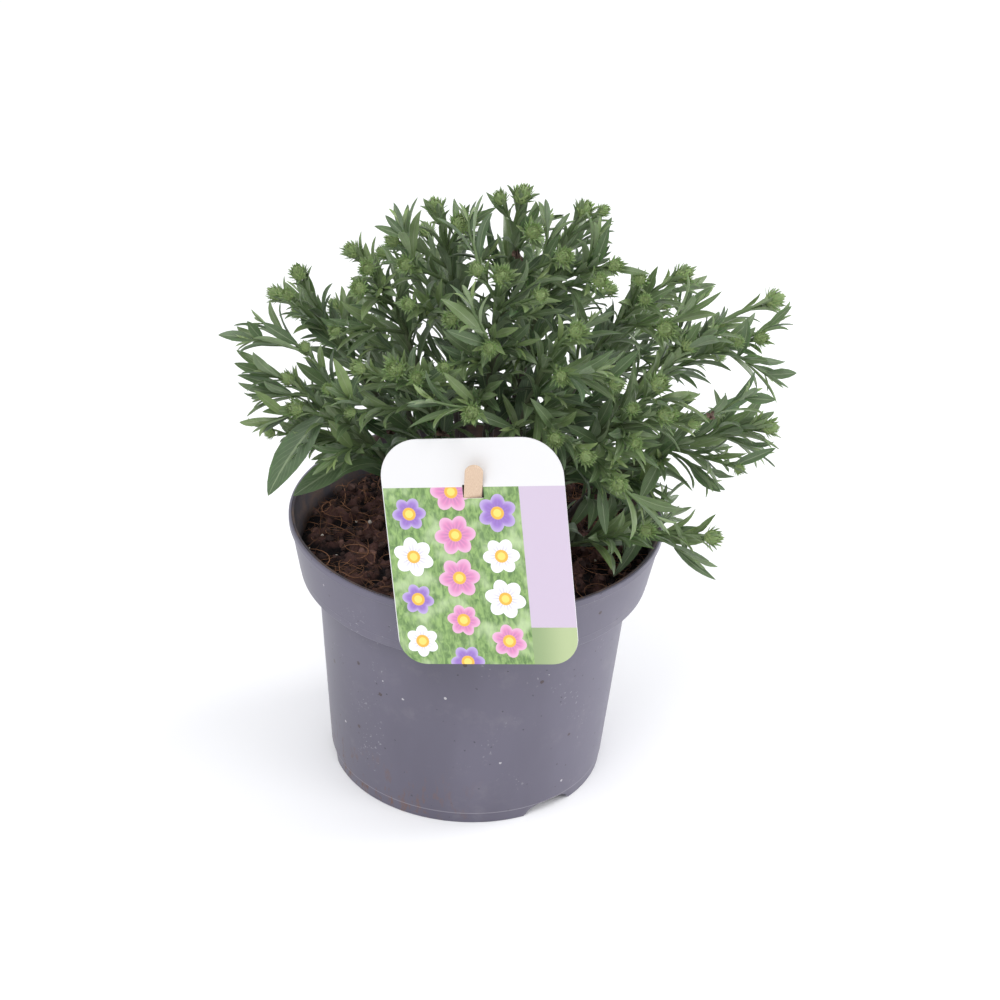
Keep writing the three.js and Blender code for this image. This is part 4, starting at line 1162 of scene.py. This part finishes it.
def blades(leaves, stations, fine):
    """Closed leaf blades. Along share t the midrib is the curve base-knee-tip, and the half-width is
    width/2 * max(CLASP (1-t)^2, sin(pi t^0.8)^blunt). Across share s the upper face stands
    fold * half-width * (|s| - 0.3 s^2) above the midrib, with a groove at s = 0, and the lower face lies
    LEAF_THICK (1 - s^2) and a rib below it. Both are thinner near the ends."""
    table = {key: np.array([leaf[key] for leaf in leaves]) for key in LEAF_COLUMNS}
    t = np.asarray(stations, float)
    base, knee, tip, lift = (table[key][:, None] for key in ("base", "knee", "tip", "lift"))
    midrib = bezier(base, knee, tip, t)
    way = bezier_way(base, knee, tip, t)
    across = unit(np.cross(lift, way))
    above = np.cross(way, across)
    twist = (table["twist"][:, None] * t)[..., None]
    across, above = (across * np.cos(twist) + above * np.sin(twist),
                     above * np.cos(twist) - across * np.sin(twist))
    swell = np.sin(np.pi * t**0.8) ** table["blunt"][:, None]
    half = table["width"][:, None] / 2 * np.maximum(CLASP * (1 - t) ** 2, swell)
    if fine:
        s = np.array([1, 0.5, 0, -0.5, -1, -0.5, 0, 0.5])
        upper = np.array([1, 1, 1, 1, 1, 0, 0, 0])
    else:
        s = np.array([1, 0, -1, 0.0])
        upper = np.array([1, 1, 1, 0])
    ring = len(s)
    sheet = np.abs(s) - 0.3 * s * s
    thick = LEAF_THICK * (1 - s * s) + LEAF_RIB * (s == 0)
    rise = table["fold"][:, None, None] * half[..., None] * sheet
    slim = np.minimum(1, half / SLIM_HALF)[..., None]
    rise = rise - slim * np.where(upper == 1, LEAF_GROOVE * (s == 0), thick)
    rings = midrib[:, :, None] + across[:, :, None] * (half[..., None] * s)[..., None] \
        + above[:, :, None] * rise[..., None]
    n, m = half.shape
    tips = np.stack([base[:, 0], tip[:, 0]], 1)
    points = np.concatenate([rings.reshape(n, m * ring, 3), tips], 1)
    uv = np.stack(np.broadcast_arrays((s + 1) / 2, t[:, None]), -1).reshape(-1, 2)
    uv = np.concatenate([uv, [[0.5, 0], [0.5, 1]]])
    under = (np.arange(ring) >= (4 if fine else 2)).astype(int)
    faces = [row_quads(m, ring), *end_fans(m, ring)]
    return points, faces, [np.tile(under, m - 1), under, under], uv, table["tone"]


LONG_STATIONS = (0.0, 0.1, 0.24, 0.4, 0.56, 0.72, 0.86, 0.95)
SHORT_STATIONS = (0.0, 0.2, 0.45, 0.7, 0.9)
SHORT_LEAF = 13.5

BUD_SCALES = 72


def bud_scales(middle, axis, width, rng):
    """A bud's pointed scales. Scale i of n sits at share i/n from the bud's foot to its top, turned by the
    golden angle. Its base is on the inner ball, and it curves up and out to a tip on the outer one."""
    n = BUD_SCALES
    share = (np.arange(n) + 0.5) / n
    turn = np.radians(GOLDEN_TURN) * np.arange(n) + rng.uniform(0, 6.28)
    side = unit(np.cross(axis, [0.3, 0.9, 0.1]))
    over = np.cross(axis, side)
    out = side * np.cos(turn)[:, None] + over * np.sin(turn)[:, None]

    def on_ball(polar, radius):
        polar = np.radians(polar)[:, None]
        return middle + (out * np.sin(polar) + axis * np.cos(polar)) * np.asarray(radius)[..., None]

    polar = lerp(116, 8, share**0.8)
    reach = width * lerp(0.64, 0.5, share) * rng.uniform(0.86, 1.12, n)
    base = on_ball(polar + 30, np.full(n, width * 0.27))
    knee = on_ball(polar + 6 - 8 * share, np.full(n, width * 0.4))
    tip = on_ball(polar - 14 * (1 - share) + rng.uniform(-9, 5, n), reach)
    t = np.array([0.0, 0.38, 0.75])
    path = bezier(base[:, None], knee[:, None], tip[:, None], t)
    way = bezier_way(base[:, None], knee[:, None], tip[:, None], t)
    across = unit(np.cross(axis + 0.01 * out[:, None], way))
    above = np.cross(way, across)
    half = (width * 0.05 * np.array([0.9, 1.0, 0.5]))[None, :, None]
    ring = np.stack([path + across * half, path + above * half * 0.45,
                     path - across * half, path - above * half * 0.3], 2)
    return np.concatenate([ring.reshape(n, 12, 3), base[:, None], tip[:, None]], 1)


def bud_core(middle, axis, width):
    """The bud's body inside its scales: an egg turned about the axis."""
    side = unit(np.cross(axis, [0.3, 0.9, 0.1]))
    over = np.cross(axis, side)
    polar = np.radians([150, 120, 90, 60, 30])
    turn = np.arange(10) * np.pi / 5
    ring = (np.sin(polar)[:, None, None] * (side * np.cos(turn)[:, None] + over * np.sin(turn)[:, None])
            + np.cos(polar)[:, None, None] * axis)
    points = np.concatenate([ring.reshape(-1, 3), [-axis, axis]])
    return middle + points * width * 0.33


SCALE_FACES = [row_quads(3, 4), *end_fans(3, 4)]
SCALE_UV = np.concatenate([np.stack([np.tile([1, 0.5, 0, 0.5], 3), np.repeat([0.0, 0.38, 0.75], 4)], -1),
                           [[0.5, 0], [0.5, 1]]])


def add_bud(skin, limb, width, rng):
    axis = limb.way(1.0)
    middle = limb.curve[2] + axis * BUD_MIDDLE * width
    skin.add(bud_core(middle, axis, width), [row_quads(5, 10), *end_fans(5, 10)], uv=(0.5, 0.1), tone=0.6)
    scales = bud_scales(middle, axis, width, rng)
    skin.add_copies(scales, SCALE_FACES, uv=SCALE_UV, tone=np.linspace(0, 0.9, BUD_SCALES))


def limb_rods(skin, limb, rng, sides):
    """The limb as a tube that swells a little at every third ring, where a leaf leaves it."""
    steps = max(5, int(limb.length / 6))
    t = np.linspace(0, 1, steps)
    radius = lerp(limb.thick, limb.thin, t) * np.where(np.arange(steps) % 3 == 1, 1.1, 1.0)
    path = limb.at(t)
    _, _, side, over = limb.frame(0.5)
    wave = rng.normal(0, 0.25, (steps, 2)) * (np.sin(np.pi * t) ** 0.5)[:, None]
    path = path + wave[:, :1] * side + wave[:, 1:] * over
    points, faces, uv = rods(path[None], radius[None], sides, unit(side + 0.01 * over))
    tone = np.concatenate([np.repeat(lerp(*limb.tone, t), sides), limb.tone])
    skin.add(points[0], faces, uv=uv, tone=tone)


def spiral_leaves(room, limb, index, rng):
    """The main stem's leaves, in a spiral from low on it to under its head."""
    for k in range(SPIRAL_COUNT):
        rise = k / (SPIRAL_COUNT - 1)
        size = lerp(LEAF_LONG, LEAF_SHORT, rise) * rng.uniform(0.88, 1.08)
        turn = k * GOLDEN_TURN + index * SHOOT_TURN
        options = []
        for aside in (0, 18, -18, 36, -36, 60, -60):
            slender = LEAF_SLENDER * rng.uniform(0.8, 1.1)
            tone = lerp(0.0, 0.35, rise) + rng.uniform(-0.2, 0.2)
            options.append(leaf_row(limb, lerp(SPIRAL_FIRST, SPIRAL_LAST, rise), turn + aside, size, slender,
                                    lerp(0.8, 0.42, rise), lerp(0.44, 0.9, rise), lerp(0.16, 0.0, rise),
                                    rng, tone))
        add_best_leaf(room, limb.shoot.leaves, options, CROWDING)


def limb_leaves(room, limb, rng, shares, sizes, count, tone, limit=CROWDING):
    """Leaves between two shares of a limb, from the first size to the second. They stand more upright the
    nearer they are to its head."""
    start = rng.uniform(0, 360)
    for k in range(count):
        rise = k / max(1, count - 1)
        size = lerp(*sizes, rise) * rng.uniform(0.88, 1.1)
        turn = start + k * GOLDEN_TURN
        options = [leaf_row(limb, lerp(*shares, rise), turn + aside, size, rng.uniform(0.14, 0.21),
                            lerp(0.56, 0.4, rise), lerp(0.72, 0.9, rise), rng.uniform(0, 0.06), rng,
                            tone + rng.uniform(-0.3, 0.3))
                   for aside in (0, 22, -22, 45, -45)]
        add_best_leaf(room, limb.shoot.leaves, options, limit)


def grow_leaves(room, shoot, index, rng):
    """The leaves of a shoot: under its buds, up its stem, and along its branches and sprigs."""
    for limb, width in zip(shoot.budded(), shoot.widths):
        limb_leaves(room, limb, rng, shares=(1 - 7 / limb.length, 1 - 1.5 / limb.length),
                    sizes=(width * 1.6, width * 1.15), count=8, tone=0.55, limit=CLOSE_CROWDING)
    spiral_leaves(room, shoot.main, index, rng)
    limb_leaves(room, shoot.main, rng, shares=(0.85, 0.96), sizes=(18, 13), count=5, tone=0.4)
    for limb in shoot.branches:
        count = max(4, int(limb.length / 4.5))
        limb_leaves(room, limb, rng, shares=(0.3, 0.9), sizes=(24, 15), count=count, tone=0.3)
    for limb in shoot.sprigs:
        limb_leaves(room, limb, rng, shares=(0.2, 0.88), sizes=(26, 15), count=5, tone=0.25)
        limb_leaves(room, limb, rng, shares=(0.92, 0.99), sizes=(10, 7), count=6, tone=0.75,
                    limit=CLOSE_CROWDING)


def leaf_skin(leaves):
    """Long leaves as fine blades, and short ones as plain ones."""
    skin = Skin()
    for fine, stations in ((True, LONG_STATIONS), (False, SHORT_STATIONS)):
        chosen = [leaf for leaf in leaves
                  if (np.linalg.norm(leaf["tip"] - leaf["base"]) > SHORT_LEAF) == fine]
        if chosen:
            skin.add_copies(*blades(chosen, stations, fine))
    return skin


def make_withered(limbs, rng):
    """Small curled dead leaves, hung in threes in the foliage where the picture shows them."""
    leaves = []
    for x, y in WITHERED:
        for aside, drop in ((-3, 7), (4, 9), (1, 6)):
            _, leaf = leaf_in_picture(limbs, (x, y), (x + aside, y + drop), 5, 3.2, 0.5, rng)
            leaf.update(twist=rng.uniform(1.5, 3.0), fold=0.9, blunt=0.6)
            leaf["knee"] = leaf["knee"] - 3.0 * unit(at_pixel(x, y, 0) - CAMERA_PLACE)
            leaves.append(leaf)
    points, faces, _, uv, tone = blades(leaves, LONG_STATIONS, True)
    skin = Skin()
    skin.add_copies(points, faces, 0, uv, tone)
    make_piece("withered_leaves", skin, [withered()], (), 70)


def fill_pot_and_card(room):
    """Fills the room where the card and the pot's collar are, so that leaves keep off them."""
    grid = np.meshgrid(*(np.linspace(*span) for span in CARD_SPANS))
    room.fill(on_card(np.stack(grid, -1).reshape(-1, 3)), CARD_CROWD)
    around = np.radians(np.arange(0, 360, 4))
    for radius, z in COLLAR_RINGS:
        ring = np.stack([radius * np.cos(around), radius * np.sin(around), 0 * around + z], -1)
        room.fill(ring, COLLAR_CROWD)


def lay_out_shoots(room, rng):
    """All limbs, with the room that they and their buds take."""
    shoots = [Shoot(heads) for heads in SHOOTS]
    for shoot in shoots:
        shoot.add_sprigs(rng)
    budded = [limb for shoot in shoots for limb in shoot.budded()]
    for end, nearer in TWIGS:
        twig = twig_in_picture(budded, np.array(end, float), nearer)
        twig.shoot.sprigs.append(twig)
    for shoot in shoots:
        for limb in shoot.limbs():
            room.fill(limb.at(np.linspace(0.1, 1, max(4, int(limb.length / 4)))))
        for limb in shoot.budded():
            room.fill(limb.curve[2][None], BUD_CROWD)
    return shoots


def make_plant():
    """All shoots. Their limbs and buds are laid out first, and the leaves then find their room among them."""
    rng = np.random.default_rng(23)
    stem = stem_bark()
    leaf_top = leaf_finish("leaf_upper", (0.066, 0.108, 0.052), (0.23, 0.31, 0.11), (0.24, 0.3, 0.17), 0.4)
    leaf_under = leaf_finish("leaf_lower", (0.15, 0.2, 0.125), (0.27, 0.35, 0.17), (0.29, 0.35, 0.22), 0.55)
    bud = bud_finish()
    room = Room()
    fill_pot_and_card(room)
    shoots = lay_out_shoots(room, rng)
    limbs = [limb for shoot in shoots for limb in shoot.limbs()]
    for base, tip, nearer, width, tone in STANDING_OUT:
        limb, leaf = leaf_in_picture(limbs, base, tip, nearer, width, tone, rng)
        room.fill(bezier(leaf["base"], leaf["knee"], leaf["tip"], np.linspace(0.3, 1, 8)))
        limb.shoot.leaves.append(leaf)
    make_withered(limbs, rng)
    for index, shoot in enumerate(shoots):
        grow_leaves(room, shoot, index, rng)
        leaves, stem_node, bud_node = (f"{kind}_{index + 1:02d}" for kind in ("leaves", "stem", "bud"))
        make_piece(f"{leaves}_blades", leaf_skin(shoot.leaves), [leaf_top, leaf_under],
                   [leaves], 70)
        wood = Skin()
        for limb in shoot.limbs():
            limb_rods(wood, limb, rng, 9 if limb is shoot.main else 7)
        make_piece(f"{stem_node}_wood", wood, [stem], [stem_node], 60)
        lead = Skin()
        add_bud(lead, shoot.main, shoot.widths[0], rng)
        make_piece(f"{bud_node}_scales", lead, [bud], [bud_node], 50)
        if shoot.branches:
            side = Skin()
            for limb, width in zip(shoot.branches, shoot.widths[1:]):
                add_bud(side, limb, width, rng)
            make_piece(f"side_buds_{index + 1:02d}", side, [bud], (), 50)


# Light and floor

def add_light(name, place, aim, size, power):
    data = bpy.data.lights.new(name, "AREA")
    data.shape, data.size, data.energy = "DISK", size, power
    lamp = bpy.data.objects.new(name, data)
    back = unit(np.array(place, float) - np.array(aim, float))
    right = unit(np.cross(UP, back))
    matrix = np.eye(4)
    matrix[:3, :3] = np.stack([right, np.cross(back, right), back], 1)
    matrix[:3, 3] = place
    lamp.matrix_world = Matrix(matrix.tolist())
    bpy.context.collection.objects.link(lamp)


def add_stage():
    """A plain pale floor, an even pale sky, and soft lamps: over the camera's left, on its right, and behind
    the plant's right."""
    mesh = bpy.data.meshes.new("floor")
    far = 6.0
    mesh.from_pydata([(-far, -far, 0), (far, -far, 0), (far, far, 0), (-far, far, 0)], [], [(0, 1, 2, 3)])
    f = Finish("pale_floor")
    mesh.materials.append(f.surface(Base_Color=(0.89, 0.89, 0.9), Roughness=0.85, Specular_IOR_Level=0.1))
    floor = bpy.data.objects.new("floor", mesh)
    bpy.context.collection.objects.link(floor)
    world = bpy.data.worlds.new("studio")
    world.use_nodes = True
    sky = world.node_tree.nodes["Background"]
    sky.inputs["Color"].default_value = (0.97, 0.98, 1.0, 1)
    sky.inputs["Strength"].default_value = 1.0
    bpy.context.scene.world = world
    bpy.context.scene.view_settings.view_transform = "Standard"
    add_light("key", (-0.5, -1.1, 1.7), (0, 0, 0.15), 0.9, 14)
    add_light("fill", (1.3, -0.7, 0.9), (0, 0, 0.15), 0.8, 5)
    add_light("rim", (1.4, 0.5, 0.6), (0, 0, 0.1), 0.8, 12)


add_camera()
add_stage()
make_pot()
make_soil()
make_crumbs()
make_fibres()
make_card()
make_stake()
make_plant()
